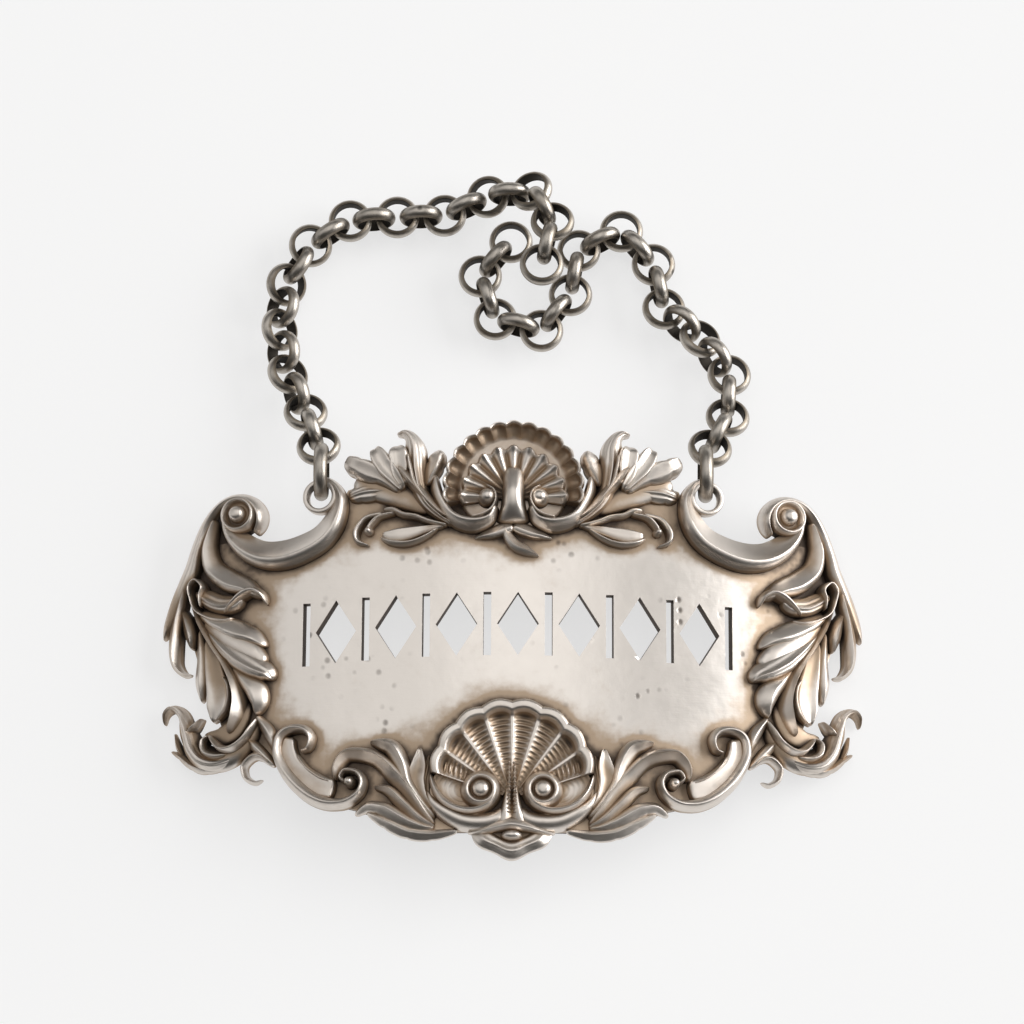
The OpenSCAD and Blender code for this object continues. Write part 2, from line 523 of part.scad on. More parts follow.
// Link centres: the ring, then flat links with an upright one half way between each two
ring_stride = pitch + (ring_od - link_od) / 2;
function centres(route, count) = let (f = walk(fine(route), route[0], 1, floor(count / 2) + 1, ring_stride))
    [for (i = [0:count]) i == 0 ? f[0] : i % 2 == 1 ? f[(i + 1) / 2] : (f[i / 2] + f[i / 2 + 1]) / 2];
left_count = 25;
right_count = 25;
left_centres = centres(left_route, left_count);
right_centres = centres(right_route, right_count);

// Roll of a link about its run: upright and flat by turns, eased to a diagonal lie on the side run
function ease(x, a, b) = let (t = max(0, min(1, (x - a) / (b - a)))) t * t * (3 - 2 * t);
left_roll = [for (i = [0:left_count]) 90 * (i % 2) + 45 * (ease(i, 1, 7) - ease(i, 7, 13))];
right_roll = [for (i = [0:right_count]) 90 * (i % 2) + 30 * (ease(i, 4, 7) - ease(i, 7, 10))];

function unit(v) = v / norm(v);
module placed(c, i, roll) {
    n = len(c) - 1;
    d = i == 0 ? [0, 1, 0] : unit(c[min(i + 1, n)] - c[max(i - 1, 0)]);
    a = unit(cross([0, 0, 1], d));
    b = cross(d, a);
    z = a * cos(roll[i]) + b * sin(roll[i]);
    y = cross(z, d);
    multmatrix([[d[0], y[0], z[0], c[i][0]], [d[1], y[1], z[1], c[i][1]], [d[2], y[2], z[2], c[i][2]]])
        ring(i == 0 ? ring_od : link_od);
}
module left_link(i) color(dark_silver) placed(left_centres, i, left_roll);
module right_link(i) color(dark_silver) placed(right_centres, i, right_roll);

// The far ends of the two runs, where groups of links lie tangled and move as one
module tail(k) {
    for (i = [0:2]) left_link(17 + 3 * k + i);
}
module knot(k) {
    for (i = [7 + 4 * k:min(10 + 4 * k, right_count)]) right_link(i);
}

field_plate();
left_c_scroll();
right_c_scroll();
left_eyelet();
right_eyelet();
left_side_leaf();
right_side_leaf();
left_lower_leaf();
right_lower_leaf();
crest_fan();
crest_shell();
left_crest_spray();
right_crest_spray();
husk();
base_shell();
left_base_volute();
right_base_volute();
left_base_scroll();
right_base_scroll();
left_base_spray();
right_base_spray();
base_lip();
left_link(0);  // left_ring
left_link(1);  // left_link_01
left_link(2);  // left_link_02
left_link(3);  // left_link_03
left_link(4);  // left_link_04
left_link(5);  // left_link_05
left_link(6);  // left_link_06
left_link(7);  // left_link_07
left_link(8);  // left_link_08
left_link(9);  // left_link_09
left_link(10);  // left_link_10
left_link(11);  // left_link_11
left_link(12);  // left_link_12
left_link(13);  // left_link_13
left_link(14);  // left_link_14
left_link(15);  // left_link_15
left_link(16);  // left_link_16
left_link(17);  // left_link_17
left_link(18);  // left_link_18
left_link(19);  // left_link_19
tail(1);  // tail_1
tail(2);  // tail_2
right_link(0);  // right_ring
right_link(1);  // right_link_01
right_link(2);  // right_link_02
right_link(3);  // right_link_03
right_link(4);  // right_link_04
right_link(5);  // right_link_05
right_link(6);  // right_link_06
right_link(7);  // right_link_07
right_link(8);  // right_link_08
right_link(9);  // right_link_09
right_link(10);  // right_link_10
knot(1);  // knot_1
knot(2);  // knot_2
knot(3);  // knot_3
knot(4);  // knot_4
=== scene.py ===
import math
import bpy
import numpy as np
from mathutils import Matrix, Vector
from mathutils.geometry import delaunay_2d_cdt


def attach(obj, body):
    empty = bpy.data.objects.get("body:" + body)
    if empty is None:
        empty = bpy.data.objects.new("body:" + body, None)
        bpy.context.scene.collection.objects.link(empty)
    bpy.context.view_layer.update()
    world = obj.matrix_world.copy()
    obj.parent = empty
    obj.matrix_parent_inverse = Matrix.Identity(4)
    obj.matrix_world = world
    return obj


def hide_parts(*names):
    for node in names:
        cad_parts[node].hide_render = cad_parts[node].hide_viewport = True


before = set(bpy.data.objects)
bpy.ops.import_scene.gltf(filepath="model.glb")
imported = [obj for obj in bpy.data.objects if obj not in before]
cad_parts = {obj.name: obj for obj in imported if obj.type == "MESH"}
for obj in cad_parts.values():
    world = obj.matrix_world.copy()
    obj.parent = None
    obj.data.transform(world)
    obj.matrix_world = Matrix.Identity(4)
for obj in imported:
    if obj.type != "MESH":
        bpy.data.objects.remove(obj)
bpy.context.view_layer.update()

# Sizes of the label and the chain are in millimetres, and Blender's unit is the metre
MM = 0.001

# The plate is a sheet of silver, bowed to lie on a decanter's shoulder. A row of lozenges and
# slots is sawn right through its middle, and its face is polished, worn and lightly pitted.
BOW = 60.0
FRONT = 0.45
SEAT = 0.4
TIP_U = 28.3
RISE = BOW - (BOW + SEAT) * math.cos(TIP_U / BOW)
PLATE_HALF = [
    (0, 13.6), (3.2, 12.8), (5, 10.6), (7.5, 11.8), (11.5, 12.7), (12.9, 12.3), (13.4, 11.2), (13.7, 9.6),
    (14.7, 8.2), (16.2, 7.2), (18, 6.7), (19.6, 6.8), (21, 7.6), (22.2, 8.8), (23.5, 8.7), (24.6, 6.8),
    (25.2, 4.8), (25.7, 2.6), (25.6, 0.8), (25, -1), (24.4, -2.8), (23.3, -5), (22.6, -6.8), (22.6, -8.2),
    (20.4, -8.4), (18.4, -9.2), (17.2, -10.2), (15.4, -11.8), (13.8, -12.5), (11.6, -13.1), (9.5, -14),
    (7, -14.8), (2.6, -14.8), (0, -14.6)]
FRET_COUNT = 7
FRET_PITCH = 4.7
FRET_W = 3.2
FRET_H = 5.0
FRET_AT = (0.4, 1.4)
FRET_SAG = 0.002
SLOT_W = 0.6
EDGE_STEP = 0.5
MESH_STEP = 0.4
MESH_SHAKE = 0.04
MESH_U = (-26, 26.1)
MESH_V = (-15, 14)
WALL_DROP = 0.08


def bowed(u, v, w):
    """A point of the flat drawing wrapped on the bow: u over the radius is its angle, the radius
    plus w its distance from the bow's axis, and v its place along that axis. Metres come out."""
    a = u / BOW
    return np.stack([(BOW + w) * np.sin(a), v + 0 * a, (BOW + w) * np.cos(a) - BOW + RISE], -1) * MM


def inside(points, ring):
    """Whether each point lies in a closed ring: the count of ring edges that a ray to the right
    crosses is odd."""
    a, b = ring, np.roll(ring, -1, axis=0)
    x, y = points[:, 0, None], points[:, 1, None]
    crossed = (a[:, 1] > y) != (b[:, 1] > y)
    rise = np.where(b[:, 1] == a[:, 1], 1e-9, b[:, 1] - a[:, 1])
    at = a[:, 0] + (y - a[:, 1]) / rise * (b[:, 0] - a[:, 0])
    return (crossed & (x < at)).sum(axis=1) % 2 == 1


def divided(ring, step):
    """A closed ring with points added along its edges, no further apart than the step."""
    ends = np.roll(ring, -1, axis=0)
    counts = np.maximum(np.ceil(np.linalg.norm(ends - ring, axis=1) / step).astype(int), 1)
    return np.concatenate([a + (b - a) * np.arange(n)[:, None] / n for a, b, n in zip(ring, ends, counts)])


def pierced(shape, count):
    """The rings of one kind of piercing: a shape repeated along the row, which sags as a parabola."""
    places = (np.arange(count) - (count - 1) / 2) * FRET_PITCH + FRET_AT[0]
    return [divided(shape + (u, FRET_AT[1] - FRET_SAG * u * u), MESH_STEP) for u in places]


half = np.array(PLATE_HALF, float)
lozenge = np.array([(-1, 0), (0, -1), (1, 0), (0, 1)]) * (FRET_W / 2, FRET_H / 2)
slot = np.array([(-1, -1), (1, -1), (1, 1), (-1, 1)]) * (SLOT_W / 2, FRET_H / 2)
rings = [divided(np.vstack([half, half[-2:0:-1] * (-1, 1)]), EDGE_STEP)]
rings += pierced(lozenge, FRET_COUNT) + pierced(slot, FRET_COUNT + 1)
grid = np.stack(np.meshgrid(np.arange(*MESH_U, MESH_STEP), np.arange(*MESH_V, MESH_STEP)), -1).reshape(-1, 2)
grid = grid + np.random.default_rng(4).uniform(-MESH_SHAKE, MESH_SHAKE, grid.shape)
drawn = np.vstack(rings + [grid])
edges, start = [], 0
for ring in rings:
    n = len(ring)
    edges += [(start + k, start + (k + 1) % n) for k in range(n)]
    start += n
flat = delaunay_2d_cdt([Vector(p) for p in drawn.tolist()], edges, [], 0, 1e-6)
flat_points = np.array([tuple(p) for p in flat[0]])
flat_faces = np.array(flat[2])
middles = flat_points[flat_faces].mean(axis=1)
kept = inside(middles, rings[0])
for ring in rings[1:]:
    kept &= ~inside(middles, ring)
flat_faces = flat_faces[kept]
used, flat_faces = np.unique(flat_faces, return_inverse=True)
flat_faces = flat_faces.reshape(-1, 3)
flat_points = flat_points[used]
corners = flat_points[flat_faces]
turn = np.cross(corners[:, 1] - corners[:, 0], corners[:, 2] - corners[:, 0])
flat_faces[turn < 0] = flat_faces[turn < 0][:, ::-1]
rim = np.concatenate([flat_faces[:, [0, 1]], flat_faces[:, [1, 2]], flat_faces[:, [2, 0]]])
keys = {tuple(e) for e in rim.tolist()}
rim = np.array([e for e in rim.tolist() if (e[1], e[0]) not in keys])
face_points = len(flat_points)
wall = {k: 2 * face_points + i for i, k in enumerate(sorted(set(rim[:, 0].tolist())))}
wall_points = flat_points[list(wall)]
plate_points = np.vstack([bowed(flat_points[:, 0], flat_points[:, 1], w) for w in (FRONT, -FRONT)]
                         + [bowed(wall_points[:, 0], wall_points[:, 1], FRONT - WALL_DROP)])
plate_faces = flat_faces.tolist() + (flat_faces[:, ::-1] + face_points).tolist()
for a, b in rim.tolist():
    plate_faces += [(b, a, wall[a], wall[b]), (wall[b], wall[a], a + face_points, b + face_points)]


def add(tree, kind, values, **settings):
    """A new node of a tree, given back as its outputs. Its settings are set first. Each value goes to the
    input of that name: a socket is linked to it, and anything else is what it holds."""
    node = tree.nodes.new("ShaderNode" + kind)
    for name, setting in settings.items():
        setattr(node, name, setting)
    for name, value in values.items():
        if isinstance(value, bpy.types.NodeSocket):
            tree.links.new(value, node.inputs[name])
        else:
            node.inputs[name].default_value = value
    return node.outputs


def arithmetic(tree, kind, a, b, clamp=False):
    """One step of arithmetic in a node tree, on two values or sockets."""
    return add(tree, "Math", {0: a, 1: b}, operation=kind, use_clamp=clamp)[0]


def ramp(tree, value, low, high):
    """A smooth step of a socket's value, from 0 at low to 1 at high."""
    step = {"Value": value, "From Min": low, "From Max": high}
    return add(tree, "MapRange", step, interpolation_type="SMOOTHSTEP")["Result"]


def patina_group():
    """Silver that has been handled: the mask is the piece's own hollow attribute stirred with cloudy
    noise. On the label that attribute holds tarnish and painted shade in creases, in the piercings and
    towards the bowed ends. It runs the colour from bright over warm to dark and raises the roughness, and
    fine scratches and pits come out as a height."""
    group = bpy.data.node_groups.new("patina", "ShaderNodeTree")
    new_socket = group.interface.new_socket
    for name, kind, value in (
            ("Bright", "Color", (0.78, 0.73, 0.68, 1)), ("Warm", "Color", (0.44, 0.34, 0.25, 1)),
            ("Dark", "Color", (0.085, 0.066, 0.054, 1)), ("Amount", "Float", 0.0), ("Clouds", "Float", 0.3),
            ("Polish", "Float", 0.16), ("Pits", "Float", 0.2)):
        new_socket(name, in_out="INPUT", socket_type="NodeSocket" + kind).default_value = value
    for name, kind in (("Color", "Color"), ("Roughness", "Float"), ("Height", "Float")):
        new_socket(name, in_out="OUTPUT", socket_type="NodeSocket" + kind)
    given = group.nodes.new("NodeGroupInput").outputs
    put = group.nodes.new("NodeGroupOutput").inputs
    place = add(group, "TexCoord", {})["Object"]
    hollow = add(group, "Attribute", {}, attribute_name="hollow")["Fac"]

    def noise(scale, detail, rough=0.55):
        look = {"Scale": scale, "Detail": detail, "Roughness": rough, "Vector": place}
        return add(group, "TexNoise", look)["Fac"]

    def sum_of(kind, a, b, clamp=False):
        return arithmetic(group, kind, a, b, clamp)

    def blend(share, a, b):
        return add(group, "Mix", {"Factor": share, "A": a, "B": b}, data_type="RGBA")["Result"]

    clouds = sum_of("ADD", noise(260, 3), sum_of("MULTIPLY", noise(1500, 4), 0.6))
    clouds = sum_of("MULTIPLY", sum_of("SUBTRACT", clouds, 0.8), given["Clouds"])
    mask = sum_of("ADD", sum_of("ADD", hollow, given["Amount"]), clouds, True)
    pit_cells = add(group, "TexVoronoi", {"Scale": 900, "Vector": place})["Distance"]
    pit_zone = ramp(group, noise(170, 2), 0.5, 0.68)
    pits = sum_of("MULTIPLY", ramp(group, pit_cells, 0.3, 0.08), pit_zone)
    pits = sum_of("MULTIPLY", pits, given["Pits"])
    colour = blend(ramp(group, mask, 0.06, 0.42), given["Bright"], given["Warm"])
    colour = blend(ramp(group, mask, 0.5, 1.05), colour, given["Dark"])
    colour = blend(sum_of("MULTIPLY", pits, 1.6, True), colour, given["Dark"])
    group.links.new(colour, put["Color"])
    rough = sum_of("ADD", given["Polish"], sum_of("MULTIPLY", mask, 0.3))
    rough = sum_of("ADD", rough, sum_of("MULTIPLY", noise(900, 5, 0.7), 0.1))
    group.links.new(rough, put["Roughness"])
    rubbed = {"Scale": (260, 6000, 3000), "Rotation": (0.1, 0.2, 0.5), "Vector": place}
    scratch_place = add(group, "Mapping", rubbed)["Vector"]
    scratch = add(group, "TexNoise", {"Scale": 1, "Detail": 3, "Vector": scratch_place})["Fac"]
    height = sum_of("MULTIPLY", scratch, 0.08)
    height = sum_of("ADD", height, sum_of("MULTIPLY", noise(420, 2), 0.7))
    height = sum_of("ADD", height, sum_of("MULTIPLY", noise(2600, 3), 0.12))
    group.links.new(sum_of("SUBTRACT", height, pits), put["Height"])
    return group


def silver(name, bump, **values):
    """A metal whose colour, roughness and relief come from the patina group with these values."""
    material = bpy.data.materials.new(name)
    material.use_nodes = True
    tree = material.node_tree
    patina = add(tree, "Group", values, node_tree=PATINA)
    relief = add(tree, "Bump", {"Strength": 1.0, "Distance": bump, "Height": patina["Height"]})
    metal = tree.nodes["Principled BSDF"].inputs
    metal["Metallic"].default_value = 1.0
    tree.links.new(patina["Color"], metal["Base Color"])
    tree.links.new(patina["Roughness"], metal["Roughness"])
    tree.links.new(relief["Normal"], metal["Normal"])
    return material


PATINA = patina_group()
field_silver = silver("field_silver", 0.00006, Polish=0.26, Pits=0.5, Clouds=0.4, Amount=0.04)
cast_silver = silver("cast_silver", 0.00003, Bright=(0.75, 0.69, 0.63, 1), Polish=0.34, Pits=0.15,
                     Clouds=0.25, Amount=0.08)
NO_DARKENING = (0, 1, 0)
label_pieces = []


def carried(body, node, kind, points, faces, material, sharp):
    """One mesh from points and faces, smooth but for edges sharper than the angle, that stands for
    the solid of its node and rides on the body."""
    mesh = bpy.data.meshes.new(node)
    mesh.from_pydata(points.tolist(), [], faces)
    mesh.shade_smooth()
    mesh.set_sharp_from_angle(angle=math.radians(sharp))
    mesh.materials.append(material)
    made = bpy.data.objects.new(f"{node}_{kind}", mesh)
    bpy.context.scene.collection.objects.link(made)
    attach(made, body)
    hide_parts(node)
    return made


def soldered(node, points, faces, material, grime_and_shade=NO_DARKENING, sharp=50):
    """A piece of the label. Its grime_and_shade is the height under which it darkens, the span over which
    that comes on, and how much it is, less than nothing where a cloth reaches well. The darkening is tarnish
    and painted shade in the low parts of the relief."""
    made = carried("label", node, "silver", points, faces, material, sharp)
    label_pieces.append((made, grime_and_shade))
    return made


plate = soldered("field_plate", plate_points, plate_faces, field_silver, sharp=30)
worn_edge = plate.modifiers.new("worn_edge", "BEVEL")
worn_edge.width = 0.00007
worn_edge.segments = 2
worn_edge.limit_method = "ANGLE"
worn_edge.angle_limit = math.radians(50)

# The two upper C-scrolls are cast bars. Each has a steep polished outer side, a ridge and a wide
# bevel to its inner edge, and winds up into a volute round a button. They are soldered on.
C_SCROLL = [
    (14.8, 13.2, 1.3, 0.25), (14, 12.7, 1.5, 0.4), (13.4, 11.4, 1.8, 0.62), (13.8, 9.8, 2, 0.9),
    (14.8, 8.5, 2, 1.05), (16.3, 7.7, 2, 1.15), (17.9, 7.3, 2, 1.2), (19.4, 7.4, 2, 1.15),
    (20.7, 8, 2, 1.05), (21.7, 8.9, 2, 0.85), (22.3, 9.9, 1.9, 0.6), (22.4, 10.9, 1.8, 0.4),
    (22, 11.6, 1.7, 0.25)]


def eased(x, a, b):
    """A smooth step from 0 at a to 1 at b."""
    t = np.clip((x - a) / (b - a), 0, 1)
    return t * t * (3 - 2 * t)


def curve(points, x):
    """A smooth curve through points, x counted in points: on each span a cubic whose slope at a point
    is half the chord between that point's neighbours."""
    p = np.asarray(points, float)
    n = len(p) - 1
    i = np.minimum(x.astype(int), n - 1)
    t = (x - i)[:, None]
    a, b, c, d = p[np.maximum(i - 1, 0)], p[i], p[i + 1], p[np.minimum(i + 2, n)]
    cubic = (3 * b - a - 3 * c + d) * t ** 3
    return 0.5 * (2 * b + (c - a) * t + (2 * a - 5 * b + 4 * c - d) * t ** 2 + cubic)


def tube_faces(along, around):
    """Faces of a closed tube of rings between two poles: the first point and the last one are the
    poles, and the rings lie between them in order."""
    i, j = np.meshgrid(np.arange(along - 1), np.arange(around), indexing="ij")
    k = (j + 1) % around
    quads = np.stack([i * around + j, i * around + k, (i + 1) * around + k, (i + 1) * around + j], -1) + 1
    j = np.arange(around)
    k = (j + 1) % around
    first = np.stack([0 * j, k + 1, j + 1], -1)
    top = (along - 1) * around + 1
    last = np.stack([0 * j + along * around + 1, top + j, top + k], -1)
    return quads.reshape(-1, 4).tolist() + first.tolist() + last.tolist()


def swept(rail, section, along, across, tips=(0.1, 0.1)):
    """A bar or leaf on a rail of across, up, crest height and half width. At each step the section
    gives the sideways place in half widths and the height from the plate to the crest, both of them
    rounded off to nothing over the tips."""
    q = curve(rail, np.linspace(0, len(rail) - 1, along + 2))
    d = np.gradient(q[:, :2], axis=0)
    d /= np.linalg.norm(d, axis=1)[:, None]
    s = np.linspace(0, 1, along + 2)[:, None]
    t = np.linspace(-1, 1, across)[None, :]
    side, high = section(s, t)
    near = np.clip(np.minimum(s / tips[0], (1 - s) / tips[1]), 0, 1)
    fall = np.sqrt(1 - (1 - near) ** 2)
    side = side * q[:, 3:4] * fall
    w = SEAT + (q[:, 2:3] - SEAT) * high * fall ** 0.7
    points = bowed(q[:, 0:1] + side * d[:, 1:2], q[:, 1:2] - side * d[:, 0:1], w)
    return np.vstack([points[0, :1], points[1:-1].reshape(-1, 3), points[-1, :1]]), tube_faces(along, across)


def joined(parts):
    """Several closed parts as one list of points and faces, each part turned so that it holds a
    positive volume."""
    points, faces, start = [], [], 0
    for p, f in parts:
        first = np.array([[c[0], c[1], c[2]] for c in f])
        more = np.array([[c[0], c[2], c[3]] for c in f if len(c) == 4]).reshape(-1, 3)
        a, b, c = (p - p.mean(axis=0))[np.vstack([first, more])].transpose(1, 0, 2)
        inside_out = np.einsum("ij,ij->i", a, np.cross(b, c)).sum() < 0
        faces += [[start + k for k in (c[::-1] if inside_out else c)] for c in f]
        points.append(p)
        start += len(p)
    return np.vstack(points), faces


def mirrored(part):
    """The mirror image of a part across the label's middle."""
    return part[0] * (-1, 1, 1), part[1]


def both_sides(name, parts, grime_and_shade=NO_DARKENING):
    """The right-hand cast piece and the left-hand one, its mirror image."""
    soldered("right_" + name, *joined(parts), cast_silver, grime_and_shade)
    soldered("left_" + name, *joined([mirrored(part) for part in parts]), cast_silver, grime_and_shade)


def scroll_bar(s, t):
    """Section of a scroll: a quarter round from the outer edge up to the ridge, then a hollow bevel
    down to the inner edge."""
    ridge = 0.3
    out = np.clip((t - ridge) / (1 - ridge), 0, 1)
    into = np.clip((ridge - t) / (1 + ridge), 0, 1)
    high = np.sqrt(1 - out ** 2.4) - 0.62 * into ** 0.75
    high = np.where(t <= -1 + 1e-6, 0, high) * np.where(t >= 1 - 1e-6, 0, 1)
    return t + 0 * s, high + 0 * s


def dome(u, v, radii, heights, around, stretch=(1, 1)):
    """A round boss: one ring for each radius and height, from the foot to the middle, stretched across
    or up the drawing."""
    turn = np.linspace(0, 2 * math.pi, around, endpoint=False)[None, :]
    r = np.asarray(radii)[:, None]
    points = bowed(u + stretch[0] * r * np.cos(turn), v + stretch[1] * r * np.sin(turn),
                   SEAT + np.asarray(heights)[:, None] + 0 * turn)
    low = bowed(np.array([u]), np.array([v]), np.array([SEAT]))
    return np.vstack([low, points[:-1].reshape(-1, 3), points[-1, :1]]), tube_faces(len(radii) - 1, around)


def button(u, v, r, h, around=40, up=14, stretch=(1, 1)):
    """A boss whose radius falls and whose height rises as a quarter ellipse, flattened at the top."""
    a = np.linspace(0, math.pi / 2, up + 1)
    return dome(u, v, r * np.cos(a) ** 0.8, h * np.sin(a), around, stretch)


def spun(u, v, profile):
    """A boss turned from a smooth profile of radii and heights, six rings to each of its spans."""
    spans = len(profile) - 1
    p = curve(profile, np.linspace(0, spans, 6 * spans + 1))
    return dome(u, v, np.maximum(p[:, 0], 0), p[:, 1], 64)


VOLUTE_AT = (21.5, 10.7)
VOLUTE = [
    (1.62, 0), (1.58, 0.5), (1.46, 1.05), (1.34, 1.38), (1.22, 1.5), (1.1, 1.4), (0.98, 1.08), (0.82, 0.95),
    (0.68, 1), (0.62, 1.35), (0.5, 1.68), (0.3, 1.85), (0, 1.9)]
both_sides("c_scroll", [swept(C_SCROLL, scroll_bar, 220, 34, (0.03, 0.04)), spun(*VOLUTE_AT, VOLUTE)],
           grime_and_shade=(1.75, 0.6, 0.25))

# An eyelet is a short silver tube, soldered in the curl of each C-scroll. The chain's end rings
# hang in it.
EYE = (15, 11.8, 0.7)
EYE_BORE = 1.9
EYE_WALL = 0.45
EYE_LEN = 1.0


def ring_faces(around, count):
    """Faces of a closed ring: a closed section of so many points at each step around."""
    i, j = np.meshgrid(np.arange(around), np.arange(count), indexing="ij")
    here, ahead = i * count, (i + 1) % around * count
    beside = (j + 1) % count
    return np.stack([here + j, ahead + j, ahead + beside, here + beside], -1).reshape(-1, 4).tolist()


def turned(u, v, w, radius, section, around=64):
    """A ring about the label's outward direction at a drawn point: the section's closed loop of
    outward and upward places is carried round the radius."""
    turn = np.linspace(0, 2 * math.pi, around, endpoint=False)[:, None]
    r, h = radius + section[None, :, 0], section[None, :, 1] + 0 * turn
    tilt = u / BOW
    x, y = r * np.cos(turn), r * np.sin(turn)
    at = bowed(np.array([u]), np.array([v]), np.array([w]))
    flat = np.stack([x * math.cos(tilt) + h * math.sin(tilt), y, h * math.cos(tilt) - x * math.sin(tilt)], -1)
    return flat.reshape(-1, 3) * MM + at, ring_faces(around, len(section))


loop = np.linspace(0, 2 * math.pi, 24, endpoint=False)
circle = np.stack([np.cos(loop), np.sin(loop)], 1)
rounded = np.sign(circle) * np.abs(circle) ** 0.6
both_sides("eyelet", [turned(*EYE, (EYE_BORE + EYE_WALL) / 2, rounded * (EYE_WALL / 2, EYE_LEN / 2))])

# The side leaves are acanthus: lobes that spring from one stem, some rolled over, some hollow, each
# with a crisp ridge. They are chased after casting, and soldered to the plate's ends.
OUTER_ROLL = [
    (20.3, 9.2, 1.2, 0.3), (19.8, 9.8, 1.7, 0.38), (19.7, 10.6, 1.9, 0.42), (20.1, 11.4, 1.9, 0.42),
    (20.9, 12, 1.9, 0.42), (21.9, 12.1, 1.9, 0.42), (22.9, 11.7, 1.9, 0.46), (23.8, 10.9, 1.8, 0.52),
    (24.5, 9.8, 1.7, 0.6), (25.1, 8.3, 1.7, 0.66), (25.6, 6.8, 1.6, 0.72), (26.2, 5.4, 1.6, 0.76),
    (26.8, 4.1, 1.5, 0.76), (27.5, 2.5, 1.3, 0.62), (28.1, 1.3, 1, 0.2)]
BAND_LOBE = [
    (23.5, 10.6, 1.4, 0.3), (23.9, 9.4, 1.5, 0.5), (24.1, 8.1, 1.6, 0.68), (23.7, 6.7, 1.6, 0.85),
    (22.4, 5.6, 1.7, 0.95), (20.8, 4.9, 1.8, 0.75), (19.4, 4, 1.6, 0.25)]
PANEL = [
    (25, 4.9, 1.5, 0.35), (24.2, 4.3, 1.6, 0.75), (23, 3.7, 1.6, 0.85), (21.8, 3.7, 1.6, 0.7),
    (21, 4.1, 1.6, 0.3)]
ROLLED_EDGE = [
    (22.6, 2.9, 1.5, 0.12), (21.9, 3.5, 1.9, 0.25), (21, 4.2, 2.1, 0.36), (20.1, 4.5, 2.1, 0.36),
    (19.4, 4.1, 1.9, 0.28), (19.2, 3.4, 1.2, 0.12)]
EYE_RIM = [
    (24.5, 3.5, 1.7, 0.12), (24.5, 4.4, 1.9, 0.17), (24.3, 5.1, 2, 0.18), (24.9, 5.7, 2, 0.18),
    (25.4, 5.2, 2, 0.18), (25.3, 4.3, 1.9, 0.18), (24.9, 3.3, 1.8, 0.18), (23.8, 2.6, 1.8, 0.2),
    (22.6, 2.3, 1.7, 0.2), (21.8, 2.5, 1.3, 0.1)]
HOOKED_LOBE = [
    (25.9, 6.4, 1.3, 0.3), (26.3, 4.6, 1.6, 0.5), (26.7, 3, 1.7, 0.62), (26.9, 1.4, 1.8, 0.65),
    (26.9, 0.1, 1.9, 0.6), (26.7, -0.9, 1.8, 0.45), (26.1, -1.6, 1.5, 0.25), (25.5, -1.7, 1, 0.1)]
TUCKED_LOBE = [(26.4, 3.6, 1.2, 0.3), (25.9, 2.5, 1.5, 0.55), (25.5, 1.3, 1.6, 0.55), (25.4, 0.3, 1.2, 0.2)]
UPPER_LOBE = [
    (24.7, 3.2, 1.4, 0.4), (23.3, 2.3, 1.7, 0.8), (21.7, 1.5, 1.8, 0.95), (20.2, 0.9, 1.7, 0.75),
    (19.1, 0.1, 1.2, 0.2)]
BROAD_LOBE = [
    (24, 1.8, 1.4, 0.4), (22.5, 0.4, 1.8, 0.9), (21.2, -0.7, 2, 1.15), (19.8, -1.6, 2, 1.05),
    (18.9, -2.1, 1.8, 0.7), (18.5, -2.6, 1.3, 0.25)]
NARROW_LOBE = [
    (21.8, -1.3, 1.3, 0.35), (20.8, -2.3, 1.6, 0.75), (19.9, -3.3, 1.8, 0.9), (19.6, -4.3, 1.7, 0.75),
    (19.8, -5.4, 1.2, 0.2)]
SLIM_LOBE = [(24.7, 1.9, 1.2, 0.3), (24.5, -0.6, 1.3, 0.55), (24.5, -2.5, 1.4, 0.6), (24.5, -4, 0.9, 0.12)]
HOLLOW_LOBE = [
    (23.9, 1.2, 1.1, 0.4), (23.4, -1.3, 1.2, 0.8), (23, -3.3, 1.25, 1), (23.1, -4.6, 1.25, 0.85),
    (23.4, -5.7, 1, 0.15)]
LEAF_BACK = [
    (22.6, 10.2, 0.44, 0.5), (23.1, 9, 0.44, 0.9), (23.6, 7.6, 0.44, 1), (24.4, 6.3, 0.44, 0.9),
    (24.9, 5, 0.44, 0.7), (25.4, 3.4, 0.44, 0.5)]
LEAF_WEB = [
    (24.3, 2.4, 1.3, 0.3), (23.2, 1.6, 1.55, 0.8), (21.8, 0.5, 1.65, 1), (20.2, -0.5, 1.6, 0.95),
    (19.1, -1.3, 1.3, 0.4)]
HOLLOW_RIM = [
    (22.7, -2.2, 1.1, 0.08), (22.4, -2.3, 1.6, 0.13), (22, -2.9, 1.8, 0.15), (21.9, -3.9, 1.8, 0.15),
    (22.2, -4.9, 1.7, 0.14), (23, -5.6, 1.2, 0.08)]
SIDE_STEM = [
    (25.4, 4.6, 1.5, 0.25), (24.5, 2.4, 1.8, 0.32), (23.4, 0.6, 1.9, 0.38), (22.3, -0.9, 2, 0.45),
    (21.5, -2.4, 2, 0.52), (21.1, -3.9, 2, 0.55), (21.3, -5.3, 1.9, 0.52), (22, -6.7, 1.5, 0.3)]


